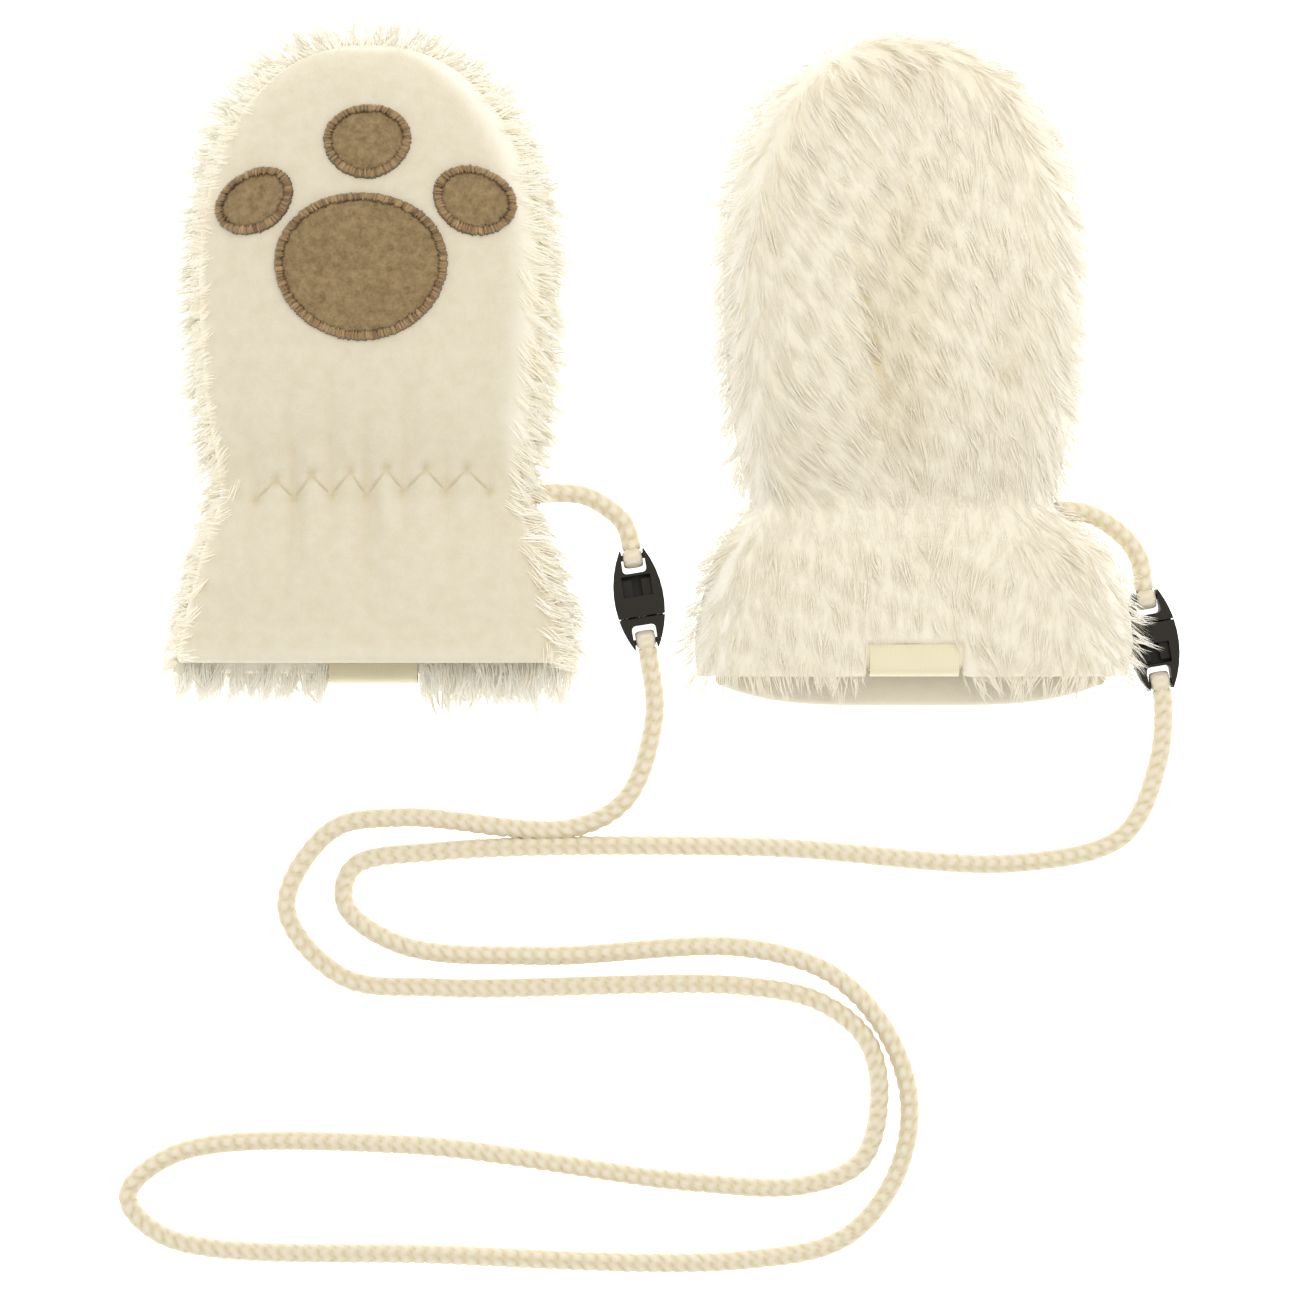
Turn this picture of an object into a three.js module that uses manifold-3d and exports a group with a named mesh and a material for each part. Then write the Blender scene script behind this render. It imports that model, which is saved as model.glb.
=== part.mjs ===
// A pair of thumbless baby mittens laid flat, palm up on the left and palm down on the right,
// joined by a knitted cord with two snap clasps. Millimetres, +X to the right, +Y towards the
// finger tips, +Z up, and the surface they lie on is z = 0.
import * as THREE from "three";
import { mergeVertices } from "three/addons/utils/BufferGeometryUtils.js";
import Module from "manifold-3d";

const wasm = await Module();
wasm.setup();

// Gap left between pieces that are sewn or snapped together.
const SEAM = 0.3;

// Cloth: the fleece of the palms and the plush of the backs with its pile.
const FLEECE = 2.2;
const PILE_UNDER = 6;
const PILE_OVER = 8;

// Lengths along a mitten, measured on Y.
const SHOULDER_Y = 19;
const FUR_TIP_Y = 74.6;
const PALM_TIP_Y = 70.2;
const WRIST_Y = -27;

// Round finger end: superellipse exponents of the plan outline and of the pillow-like section.
const PLAN_POWER = 2.2;
const SECTION_POWER = 3;
const TIP_ROWS = 8;

// Elastic gathers on the wrist.
const GATHER = { pitch: 8.4, depth: 2.1, above: 11, below: 15 };

// Left mitten, palm up. One row for each section below the shoulder:
// y, half-width of the palm, half-width with the fur, height of the palm over the side seam,
// and the number of steps to the next row.
const LEFT = {
  centreX: -61.4,
  seamZ: 8,
  palmHemY: -65,
  plushHemY: -72.6,
  lipRise: 3,
  rows: [
    { y: 19, centre: 0, palm: 37.6, fur: 42.0, crown: 16, steps: 1 },
    { y: 0, centre: 0, palm: 36.8, fur: 41.0, crown: 16, steps: 1 },
    { y: -13, centre: 0, palm: 35.2, fur: 38.6, crown: 14.6, steps: 2 },
    { y: -22, centre: 0, palm: 33.5, fur: 35.8, crown: 12.4, steps: 2 },
    { y: -27, centre: 0, palm: 33.0, fur: 35.0, crown: 11.6, steps: 2 },
    { y: -32, centre: 0, palm: 33.8, fur: 36.4, crown: 12, steps: 2 },
    { y: -39, centre: 0.2, palm: 36.6, fur: 40.4, crown: 12.8, steps: 1 },
    { y: -49, centre: 0.4, palm: 39.6, fur: 43.4, crown: 13.2, steps: 1 },
    { y: -58, centre: 0.4, palm: 41.6, fur: 45.6, crown: 13, steps: 2 },
    { y: -65, centre: 0.2, palm: 42.8, fur: 46.8, crown: 12.8, steps: 2 },
    { y: -74.8, centre: 0, palm: 42.8, fur: 45.4, crown: 12.8, steps: 1 },
  ],
};

// Right mitten, plush side up: crown is the height of the pile over the floor.
const RIGHT = {
  centreX: 54.2,
  seamZ: 6,
  palmHemY: -74.6,
  plushHemY: -71.2,
  rows: [
    { y: 19, centre: 1, palm: 36.6, fur: 41.5, crown: 26, steps: 2 },
    { y: 0, centre: 1, palm: 36.2, fur: 40.6, crown: 25.6, steps: 2 },
    { y: -13, centre: 1.2, palm: 35, fur: 39.2, crown: 23.8, steps: 2 },
    { y: -23, centre: 1.2, palm: 33.4, fur: 37.4, crown: 20.4, steps: 2 },
    { y: -30, centre: 1.2, palm: 32.8, fur: 35.8, crown: 17.8, steps: 2 },
    { y: -35, centre: 2.4, palm: 34, fur: 40, crown: 18.8, steps: 1 },
    { y: -41, centre: 3.6, palm: 36.8, fur: 45.6, crown: 20.6, steps: 1 },
    { y: -49, centre: 3.9, palm: 39.8, fur: 48.4, crown: 21.2, steps: 1 },
    { y: -58, centre: 3.9, palm: 41.8, fur: 50.4, crown: 21, steps: 1 },
    { y: -66, centre: 3.6, palm: 42.8, fur: 50, crown: 20, steps: 2 },
    { y: -74.8, centre: 3, palm: 42.8, fur: 47.6, crown: 18.4, steps: 1 },
  ],
};

// Paw pads of soft fleece with a satin-stitched edge: place from the palm's middle line, half-sizes
// and the turn of the long axis.
const PADS = [
  { name: "pad_main", x: -1.8, y: 22.4, long: 18.7, short: 16, turn: 0, sides: 24 },
  { name: "toe_1", x: -25.5, y: 36.5, long: 9.0, short: 6.7, turn: 30, sides: 14 },
  { name: "toe_2", x: -0.9, y: 49.9, long: 9.5, short: 8.1, turn: 4, sides: 14 },
  { name: "toe_3", x: 22.7, y: 37, long: 9.0, short: 7.4, turn: -20, sides: 14 },
];
const PAD = { field: 1.0, border: 1.6, borderWidth: 2.4, groove: 0.75, pressed: 1.1 };

// Woven label folded over the hem of each plush back.
const LABEL = { width: 19.4, leg: 6.8, height: 6.6, cloth: 0.5 };
const LEFT_LABEL = { x: -60.9, foldY: -69.5, bottomZ: 0.3 };
const RIGHT_LABEL = { x: 57.5, foldY: -67.8, sunk: 2.4 };

// Snap clasp: a lens-shaped closed pair, socket half towards its own +Y end.
const CLASP = {
  halfLength: 11,
  halfWidth: 5.5,
  endHalfWidth: 2.7,
  thick: 4.6,
  jointY: -4,
  slotHalf: 2.65,
  slotInner: 5.8,
  barInner: 8.8,
  barOuter: 10,
  barThick: 1.6,
  hornGap: 2.35,
  channelHalf: 3.5,
  channelThick: 2.2,
  windowHalf: 3.2,
  windowY: [0.6, 5.2],
  prong: { x: 2.1, halfWidth: 1.05, thick: 1.6, reach: 8.6 },
};
const CLASPS = [
  { name: "left", x: -2.4, y: -51, turn: 9.1 },
  { name: "right", x: 111, y: -60.1, turn: 189.6 },
];

// Knitted cord.
const CORD = { radius: 2, sides: 8, z: 2.05 };
const CORD_END = CLASP.barOuter + SEAM;
const CORD_STRAIGHT = CORD_END + 3.6;
const LEFT_CORD_EXIT = { x: -27.9, y: -28.4, z: 7.2 };
const RIGHT_CORD_EXIT = { x: 88.4, y: -31.7, z: 6 };

// Routes of the cord between its ends, laid on the floor where no height is given.
const LEFT_CORD_ROUTE = [
  { x: -19.8, y: -27.7, z: 4.6 },
  { x: -13.9, y: -28.4, z: 2.8 },
  { x: -9.4, y: -30.9 },
  { x: -6.1, y: -33.8 },
];
const RIGHT_CORD_ROUTE = [
  { x: 95.3, y: -31.9, z: 4 },
  { x: 99.4, y: -33.4, z: 2.8 },
  { x: 103.4, y: -36.1 },
  { x: 106.5, y: -39.4 },
  { x: 108.3, y: -43 },
];
const LONG_CORD_ROUTE = [
  { x: 0.9, y: -77 },
  { x: -5.2, y: -95 },
  { x: -17.6, y: -101.6 },
  { x: -55, y: -99.2 },
  { x: -70.4, y: -102.1 },
  { x: -80.3, y: -119 },
  { x: -68.2, y: -134.2 },
  { x: -46.2, y: -136.8 },
  { x: 19.8, y: -136.4 },
  { x: 37.8, y: -140.1 },
  { x: 48, y: -148.7 },
  { x: 50.6, y: -161.3 },
  { x: 46.6, y: -175.1 },
  { x: 34.1, y: -180.4 },
  { x: 8.8, y: -179.7 },
  { x: -55, y: -171.4 },
  { x: -104.5, y: -173.4 },
  { x: -115.3, y: -182.8 },
  { x: -107, y: -191.8 },
  { x: -46.2, y: -195.8 },
  { x: 19.8, y: -197.1 },
  { x: 42.9, y: -192.1 },
  { x: 53.9, y: -179.3 },
  { x: 57.4, y: -163.5 },
  { x: 53, y: -147.8 },
  { x: 40.7, y: -134.2 },
  { x: 20.9, y: -128 },
  { x: -24.2, y: -129.8 },
  { x: -55, y: -127.4 },
  { x: -67.3, y: -118.6 },
  { x: -65.6, y: -110.2 },
  { x: -46.2, y: -106.7 },
  { x: 24.2, y: -105.8 },
  { x: 81.4, y: -109.3 },
  { x: 104.5, y: -103.2 },
  { x: 112.2, y: -87.1 },
];

const FINISH = {
  fleece: { color: 0xeadfc4, roughness: 0.95 },
  plush: { color: 0xf0e8d2, roughness: 1 },
  pad: { color: 0x8e7a58, roughness: 0.95 },
  label: { color: 0xe9dcae, roughness: 0.8 },
  plastic: { color: 0x25231d, roughness: 0.4 },
  cord: { color: 0xe8dab4, roughness: 0.9 },
};

const radians = THREE.MathUtils.degToRad;
const group = new THREE.Group();

// Adds one named piece to the part.
function add(name, geometry, finish, parent = group) {
  const material = new THREE.MeshStandardMaterial({ metalness: 0, ...FINISH[finish] });
  const mesh = new THREE.Mesh(geometry, material);
  mesh.name = name;
  parent.add(mesh);
  return mesh;
}

// Height of a pillow-like section, 1 at its middle and 0 at its edge, reach from 0 to 1.
function pillow(reach) {
  return Math.max(0, 1 - Math.abs(reach) ** SECTION_POWER) ** (1 / SECTION_POWER);
}

// Value of one column of a mitten's rows at y, on a smooth curve through the rows.
function columnAt(rows, name, y) {
  const last = rows.length - 1;
  const found = rows.findIndex((row) => row.y <= y);
  const k = THREE.MathUtils.clamp(found < 0 ? last : found, 1, last);
  const slope = (i) => {
    const before = rows[Math.max(i - 1, 0)];
    const after = rows[Math.min(i + 1, last)];
    return (after[name] - before[name]) / (after.y - before.y);
  };
  const [from, to] = [rows[k - 1], rows[k]];
  const span = to.y - from.y;
  const t = THREE.MathUtils.clamp((y - from.y) / span, 0, 1);
  const keep = (1 + 2 * t) * (1 - t) ** 2;
  const leave = t * (1 - t) ** 2 * span * slope(k - 1);
  const arrive = t ** 2 * (t - 1) * span * slope(k);
  return keep * from[name] + leave + (1 - keep) * to[name] + arrive;
}

// Sizes of a mitten at y: its middle line, half-widths, and the rise of the section, which falls
// to 0 at the round tip whose end is given.
function sectionAt(mitten, y, tipY) {
  const t = THREE.MathUtils.clamp((y - SHOULDER_Y) / (tipY - SHOULDER_Y), 0, 1);
  const narrow = (1 - t ** PLAN_POWER) ** (1 / PLAN_POWER);
  const rise = (1 - t ** SECTION_POWER) ** (1 / SECTION_POWER);
  const column = (name) => columnAt(mitten.rows, name, Math.min(y, SHOULDER_Y));
  return {
    middle: mitten.centreX + column("centre"),
    palm: column("palm") * narrow,
    fur: column("fur") * narrow,
    crown: column("crown"),
    rise,
  };
}

// The stations of a panel from its tip to its hem. At the tip each outline has its own end, so a
// station gives a share of the way from that end to the shoulder; below it, one y for all.
function stations(mitten, hemY) {
  const list = [];
  for (let k = 0; k < TIP_ROWS; k++) {
    list.push({ turn: (k / TIP_ROWS) * (Math.PI / 2) });
  }
  mitten.rows.slice(0, -1).forEach((row, index) => {
    const next = mitten.rows[index + 1];
    for (let k = 0; k < row.steps; k++) {
      const y = THREE.MathUtils.lerp(row.y, next.y, k / row.steps);
      if (y > hemY + 1) list.push({ y });
    }
  });
  list.push({ y: hemY });
  return list;
}

// Where an outline that ends at tipY stands at a station.
function stationY(station, tipY) {
  if (station.y !== undefined) return station.y;
  return SHOULDER_Y + (tipY - SHOULDER_Y) * Math.cos(station.turn) ** (2 / PLAN_POWER);
}

// A closed solid through loops of equal length, the first one folded shut or shrunk to a point.
// Loops run clockwise seen from the hem. The last loop is capped unless it is shut too.
function loft(loops, capped) {
  const size = loops[0].length;
  const position = loops.flat().flatMap((p) => [p.x, p.y, p.z]);
  const faces = [];
  for (let row = 0; row + 1 < loops.length; row++) {
    for (let k = 0; k < size; k++) {
      const a = row * size + k;
      const b = row * size + ((k + 1) % size);
      faces.push([a, a + size, b], [b, a + size, b + size]);
    }
  }
  if (capped) {
    const first = (loops.length - 1) * size;
    const outline = loops.at(-1).map((p) => new THREE.Vector2(p.x, p.z));
    for (const [a, b, c] of THREE.ShapeUtils.triangulateShape(outline, [])) {
      const area = outline[b].clone().sub(outline[a]).cross(outline[c].clone().sub(outline[a]));
      faces.push(area > 0 ? [first + a, first + b, first + c] : [first + a, first + c, first + b]);
    }
  }
  const geometry = new THREE.BufferGeometry();
  geometry.setAttribute("position", new THREE.Float32BufferAttribute(position, 3));
  geometry.setIndex(faces.flat());
  return weld(geometry);
}

// Merges shared vertices and drops the faces that this closes up.
function weld(geometry) {
  const bare = geometry.clone();
  bare.deleteAttribute("normal");
  bare.deleteAttribute("uv");
  const merged = mergeVertices(bare, 1e-3);
  const index = [...merged.index.array];
  const kept = [];
  for (let k = 0; k < index.length; k += 3) {
    const [a, b, c] = index.slice(k, k + 3);
    if (a !== b && b !== c && c !== a) kept.push(a, b, c);
  }
  merged.setIndex(kept);
  merged.computeVertexNormals();
  return merged;
}

// Three.js geometry to a solid that can be cut, and back.
function toSolid(geometry) {
  const welded = weld(geometry);
  return new wasm.Manifold(
    new wasm.Mesh({
      numProp: 3,
      vertProperties: new Float32Array(welded.attributes.position.array),
      triVerts: new Uint32Array(welded.index.array),
    }),
  );
}

function toGeometry(solid) {
  const mesh = solid.getMesh();
  const geometry = new THREE.BufferGeometry();
  geometry.setAttribute("position", new THREE.BufferAttribute(mesh.vertProperties, 3));
  geometry.setIndex(new THREE.BufferAttribute(mesh.triVerts, 1));
  geometry.computeVertexNormals();
  return geometry;
}

function cut(geometry, ...tools) {
  let solid = toSolid(geometry);
  for (const tool of tools) solid = solid.subtract(toSolid(tool));
  return toGeometry(solid);
}

// A box given by its lowest and highest corners.
function block(low, high) {
  const size = high.map((value, k) => value - low[k]);
  const geometry = new THREE.BoxGeometry(...size);
  return geometry.translate(...low.map((value, k) => value + size[k] / 2));
}

// A section loop from its right half, which runs from the middle line over the upper face, round
// the edge and back along the lower face. Each point has its distance from the middle line.
function loopFromHalf(half, middle) {
  const side = (p, sign) => new THREE.Vector3(middle + sign * p.out, p.y, p.z);
  const right = half.map((p) => side(p, 1));
  const left = half.slice(1, -1).map((p) => side(p, -1));
  return [...right, ...left.reverse()];
}

// Reaches of a wall's points from its middle to its edge; even gives the share of even spacing.
function reaches(count, even) {
  return Array.from({ length: count + 1 }, (_, k) => {
    const t = k / count;
    return even * t + (1 - even) * Math.sin((t * Math.PI) / 2);
  });
}

// Depth of the gathers under the smooth palm at x from the middle line.
function gather(out, y, reach, depth) {
  const spread = y > WRIST_Y ? GATHER.above : GATHER.below;
  const fade = Math.exp(-(((y - WRIST_Y) / spread) ** 2)) * (1 - reach ** 4);
  return depth * fade * (0.5 + 0.5 * Math.cos((2 * Math.PI * out) / GATHER.pitch));
}

// Extra height of the hem band, which is cloth turned up and stitched.
function hemBand(y, hemY) {
  const from = hemY + 7.4;
  return 1.1 * THREE.MathUtils.smoothstep(from - y, -1, 1) * (y < hemY + 0.5 ? 0.4 : 1);
}

// Height of the left palm's outer face.
function palmTop(x, y) {
  const at = sectionAt(LEFT, y, PALM_TIP_Y);
  const reach = (x - at.middle) / at.palm;
  const smooth = LEFT.seamZ + at.crown * at.rise * pillow(reach);
  return smooth - gather(x - at.middle, y, Math.abs(reach), GATHER.depth);
}

// Left palm: a gathered fleece dome over the side seam.
function leftPalm() {
  const across = reaches(18, 0.5);
  const loops = stations(LEFT, LEFT.palmHemY).map((station) => {
    const outerY = stationY(station, PALM_TIP_Y);
    const innerY = stationY(station, PALM_TIP_Y - FLEECE);
    const at = sectionAt(LEFT, outerY, PALM_TIP_Y);
    const narrow = at.palm / columnAt(LEFT.rows, "palm", Math.min(outerY, SHOULDER_Y));
    const innerHalf = at.palm - FLEECE * narrow;
    const outer = across.map((reach) => {
      const out = reach * at.palm;
      const z = LEFT.seamZ + at.crown * at.rise * pillow(reach);
      const band = hemBand(outerY, LEFT.palmHemY) * pillow(reach);
      return { out, y: outerY, z: z + band - gather(out, outerY, reach, GATHER.depth) };
    });
    const inner = across.map((reach) => {
      const out = reach * innerHalf;
      const z = LEFT.seamZ + (at.crown - FLEECE) * at.rise * pillow(reach);
      return { out, y: innerY, z: z - gather(out, outerY, reach, GATHER.depth) };
    });
    return loopFromHalf([...outer, ...inner.reverse()], at.middle);
  });
  return loft(loops, true);
}

// Left back: a plush tray, flat on the floor, whose fur stands up round the palm's edge.
function leftBack() {
  const inside = reaches(4, 0.6);
  const under = reaches(6, 0.1).reverse();
  const rimZ = LEFT.seamZ - SEAM;
  const loops = stations(LEFT, LEFT.plushHemY).map((station) => {
    const furY = stationY(station, FUR_TIP_Y);
    const rimY = stationY(station, PALM_TIP_Y + SEAM);
    const innerY = stationY(station, PALM_TIP_Y - FLEECE);
    const at = sectionAt(LEFT, furY, FUR_TIP_Y);
    const narrow = at.fur / columnAt(LEFT.rows, "fur", Math.min(furY, SHOULDER_Y));
    const palm = columnAt(LEFT.rows, "palm", Math.min(furY, SHOULDER_Y));
    const rimHalf = (palm + SEAM) * narrow;
    const innerHalf = (palm - FLEECE) * narrow;
    const thin = THREE.MathUtils.smoothstep(LEFT_LABEL.foldY - furY, 0, 3.2);
    const hollow = rimZ - PILE_UNDER + 2.4 * thin;
    const lipZ = LEFT.seamZ + LEFT.lipRise * (1 - 0.7 * thin);
    const half = [
      ...inside.map((reach) => {
        const z = rimZ - hollow * at.rise * pillow(reach);
        return { out: reach * innerHalf, y: innerY, z };
      }),
      { out: rimHalf, y: rimY, z: rimZ },
      { out: rimHalf, y: rimY, z: lipZ - 0.8 },
      { out: (rimHalf + at.fur) / 2, y: (rimY + furY) / 2, z: lipZ },
      ...under.map((reach) => {
        const z = rimZ - (rimZ + 1.2) * at.rise * pillow(reach);
        return { out: reach * at.fur, y: furY, z: Math.max(0, z) };
      }),
    ];
    return loopFromHalf(half, at.middle);
  });
  return loft(loops, true);
}

// Right palm: a fleece tray, flat on the floor, under the plush.
function rightPalm() {
  const across = reaches(6, 0.1);
  const wall = FLEECE + 0.4;
  const bow = 4.6;
  const loops = stations(RIGHT, RIGHT.palmHemY).map((station) => {
    const outerY = stationY(station, PALM_TIP_Y);
    const innerY = stationY(station, PALM_TIP_Y - wall);
    const at = sectionAt(RIGHT, outerY, PALM_TIP_Y);
    const narrow = at.palm / columnAt(RIGHT.rows, "palm", Math.min(outerY, SHOULDER_Y));
    const toHem = THREE.MathUtils.smoothstep(-outerY, -RIGHT.palmHemY - 18, -RIGHT.palmHemY);
    const point = (reach, half, y, roof) => {
      const depth = RIGHT.seamZ + 1 - roof;
      const z = RIGHT.seamZ - depth * at.rise * pillow(reach);
      return { out: reach * half, y: y + bow * toHem * reach ** 4, z: Math.max(roof, z) };
    };
    const inner = across.map((reach) => point(reach, at.palm - wall * narrow, innerY, wall));
    const outer = across.map((reach) => point(reach, at.palm, outerY, 0));
    return loopFromHalf([...inner, ...outer.reverse()], at.middle);
  });
  return loft(loops, true);
}

// Soft crease down the middle of the upper plush and the waves of its pile.
function pileRelief(x, y, reach) {
  const crease = Math.exp(-(((x - 49.4) / 4.6) ** 2));
  const along = THREE.MathUtils.smoothstep(y, -30, -12) * THREE.MathUtils.smoothstep(-y, -34, -2);
  const tufts = Math.sin(0.55 * x + 0.21 * y) * Math.sin(0.62 * y - 0.18 * x);
  return (0.55 * tufts - 2.2 * crease * along) * (1 - reach ** 4);
}

// Right back: a plush dome whose fur hangs down to the floor round the palm's edge.
function rightBack() {
  const over = reaches(12, 0.3);
  const inside = reaches(5, 0.3).reverse();
  const rimZ = RIGHT.seamZ + SEAM;
  const loops = stations(RIGHT, RIGHT.plushHemY).map((station) => {
    const furY = stationY(station, FUR_TIP_Y);
    const rimY = stationY(station, PALM_TIP_Y + SEAM);
    const innerY = stationY(station, PALM_TIP_Y - FLEECE);
    const at = sectionAt(RIGHT, furY, FUR_TIP_Y);
    const narrow = at.fur / columnAt(RIGHT.rows, "fur", Math.min(furY, SHOULDER_Y));
    const palm = columnAt(RIGHT.rows, "palm", Math.min(furY, SHOULDER_Y));
    const rimHalf = (palm + SEAM) * narrow;
    const innerHalf = (palm - FLEECE) * narrow;
    const thin = THREE.MathUtils.smoothstep(RIGHT_LABEL.foldY - furY, 0, 3.4);
    const sideZ = 2.4;
    const top = at.crown - 2.6 * thin - sideZ;
    const ceiling = at.crown - PILE_OVER + 1.2 * thin - rimZ;
    const half = [
      ...over.map((reach) => {
        const out = reach * at.fur;
        return { out, y: furY, z: sideZ + top * at.rise * pillow(reach), reach };
      }),
      { out: at.fur - 0.9 * narrow, y: furY - 0.9 * (1 - at.rise), z: 0 },
      { out: rimHalf + 0.5 * narrow, y: rimY, z: 0 },
      { out: rimHalf, y: rimY, z: rimZ },
      ...inside.map((reach) => {
        const z = rimZ + ceiling * at.rise * pillow(reach);
        return { out: reach * innerHalf, y: innerY, z };
      }),
    ];
    const loop = loopFromHalf(half, at.middle);
    const reliefShare = half.map((p) => p.reach);
    loop.forEach((p, k) => {
      const reach = reliefShare[k < half.length ? k : loop.length - k];
      if (reach !== undefined) p.z += at.rise * pileRelief(p.x, p.y, reach);
    });
    return loop;
  });
  return loft(loops, true);
}

// Outline of a pad at a share of its size: an ellipse a little fuller at its lower side.
function padOutline(at, share, grow = 0) {
  const turn = radians(at.turn);
  return Array.from({ length: at.sides }, (_, k) => {
    const angle = (2 * Math.PI * k) / at.sides;
    const along = (at.long + grow) * share * Math.cos(angle);
    const across = (at.short + grow) * share * Math.sin(angle) * (1 - 0.06 * Math.sin(angle));
    const x = at.x + along * Math.cos(turn) - across * Math.sin(turn);
    const y = at.y + along * Math.sin(turn) + across * Math.cos(turn);
    return new THREE.Vector2(x, y);
  });
}

// A pad as rings from the middle of its upper face to the middle of its lower face: a soft field,
// a groove and the raised border. place(x, y, lift) gives the point that stands lift over the cloth.
function raisedPad(at, place) {
  const border = 1 - PAD.borderWidth / at.short;
  const profile = [
    { share: 0, rise: PAD.field },
    { share: 0.5, rise: PAD.field },
    { share: border - 0.05, rise: PAD.field },
    { share: border, rise: PAD.groove },
    { share: border + 0.35 * (1 - border), rise: PAD.border },
    { share: 0.95, rise: PAD.border },
    { share: 1, rise: 0.5 * PAD.border },
    { share: 0.99, rise: 0 },
    { share: 0.7, rise: 0 },
    { share: 0, rise: 0 },
  ];
  const rings = profile.map(({ share, rise }) =>
    padOutline(at, share).map((p) => place(p.x, p.y, rise)),
  );
  return loft(rings, false);
}

// A pad pressed flat by the floor under it.
function flatPad(at) {
  const shape = new THREE.Shape(padOutline(at, 1));
  return new THREE.ExtrudeGeometry(shape, { depth: PAD.pressed, bevelEnabled: false });
}

// A point above the left palm, moved out square to the cloth.
function abovePalm(x, y, lift) {
  const step = 0.05;
  const slopeX = (palmTop(x + step, y) - palmTop(x - step, y)) / (2 * step);
  const slopeY = (palmTop(x, y + step) - palmTop(x, y - step)) / (2 * step);
  const normal = new THREE.Vector3(-slopeX, -slopeY, 1).normalize();
  const point = new THREE.Vector3(x, y, palmTop(x, y));
  return point.addScaledVector(normal, SEAM + 0.05 + lift);
}

// Bed pressed into the cloth for a pad, from below the floor up to roof.
function padBed(at, roof) {
  const shape = new THREE.Shape(padOutline(at, 1, SEAM + 0.1));
  const depth = roof + 1;
  return new THREE.ExtrudeGeometry(shape, { depth, bevelEnabled: false }).translate(0, 0, -1);
}

// A label strip folded over an edge: two legs and the fold, open towards +Y.
function label(at, bottomZ) {
  const { width, leg, height, cloth } = LABEL;
  const shape = new THREE.Shape();
  const bend = 0.8;
  shape.moveTo(leg, 0);
  shape.lineTo(bend, 0);
  shape.lineTo(0, bend);
  shape.lineTo(0, height - bend);
  shape.lineTo(bend, height);
  shape.lineTo(leg, height);
  shape.lineTo(leg, height - cloth);
  shape.lineTo(bend + 0.2, height - cloth);
  shape.lineTo(cloth, height - bend - 0.2);
  shape.lineTo(cloth, bend + 0.2);
  shape.lineTo(bend + 0.2, cloth);
  shape.lineTo(leg, cloth);
  const geometry = new THREE.ExtrudeGeometry(shape, { depth: width, bevelEnabled: false });
  // The shape's x becomes Y, its y becomes Z and the extrusion runs along X.
  const basis = new THREE.Matrix4().makeBasis(
    new THREE.Vector3(0, 1, 0),
    new THREE.Vector3(0, 0, 1),
    new THREE.Vector3(1, 0, 0),
  );
  return geometry.applyMatrix4(basis).translate(at.x - width / 2, at.foldY, bottomZ);
}

// Room for a label in the plush: the parting beyond its fold and the beds of its two legs.
function labelRoom(at, bottomZ) {
  const side = LABEL.width / 2 + SEAM;
  const [x0, x1] = [at.x - side, at.x + side];
  const back = at.foldY + LABEL.leg + SEAM;
  const bed = LABEL.cloth + SEAM;
  const topBed = bottomZ + LABEL.height - bed;
  return [
    block([x0, at.foldY - 12, -1], [x1, at.foldY + bed, 40]),
    block([x0, at.foldY - 1, topBed], [x1, back, 40]),
    block([x0, at.foldY - 1, -1], [x1, back, bottomZ + bed]),
  ];
}

// Half-width of the clasp's lens outline at y from its middle.
function lensHalf(y) {
  const rise = CLASP.halfWidth - CLASP.endHalfWidth;
  const radius = (CLASP.halfLength ** 2 + rise ** 2) / (2 * rise);
  return CLASP.halfWidth - radius + Math.sqrt(radius ** 2 - y ** 2);
}

// Flat outline of a clasp half from its straight joint edge to its horned cord end, with the slot.
function claspOutline(jointY) {
  const steps = 6;
  const side = Array.from({ length: steps + 1 }, (_, k) => {
    const y = THREE.MathUtils.lerp(jointY, CLASP.halfLength, k / steps);
    return new THREE.Vector2(lensHalf(y), y);
  });
  const horn = [
    new THREE.Vector2(CLASP.hornGap + 0.1, CLASP.halfLength),
    new THREE.Vector2(CLASP.hornGap, CLASP.barOuter),
  ];
  const right = [...side, ...horn];
  const left = right.map((p) => new THREE.Vector2(-p.x, p.y)).reverse();
  const shape = new THREE.Shape([...right, ...left]);
  const round = 0.9;
  const [w, low, high] = [CLASP.slotHalf, CLASP.slotInner, CLASP.barInner];
  const corner = [0, 30, 60, 90].map((degrees) => {
    const [s, c] = [Math.sin(radians(degrees)), Math.cos(radians(degrees))];
    return new THREE.Vector2(w - round + round * s, low + round - round * c);
  });
  const slotRight = [...corner, new THREE.Vector2(w, high)];
  const slotLeft = slotRight.map((p) => new THREE.Vector2(-p.x, p.y)).reverse();
  const slot = new THREE.Path([...slotRight, ...slotLeft]);
  shape.holes.push(slot);
  return shape;
}

function claspBody(jointY) {
  return new THREE.ExtrudeGeometry(claspOutline(jointY), {
    depth: CLASP.thick,
    bevelEnabled: false,
  });
}

// Cutters that leave a thin bar for the cord to loop round.
function barCutters() {
  const [low, high] = [(CLASP.thick - CLASP.barThick) / 2, (CLASP.thick + CLASP.barThick) / 2];
  const [x, y0, y1] = [CLASP.hornGap, CLASP.barInner - 0.5, CLASP.halfLength + 1];
  return [
    block([-x, y0, -1], [x, y1, low]),
    block([-x, y0, high], [x, y1, CLASP.thick + 1]),
  ];
}

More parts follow.
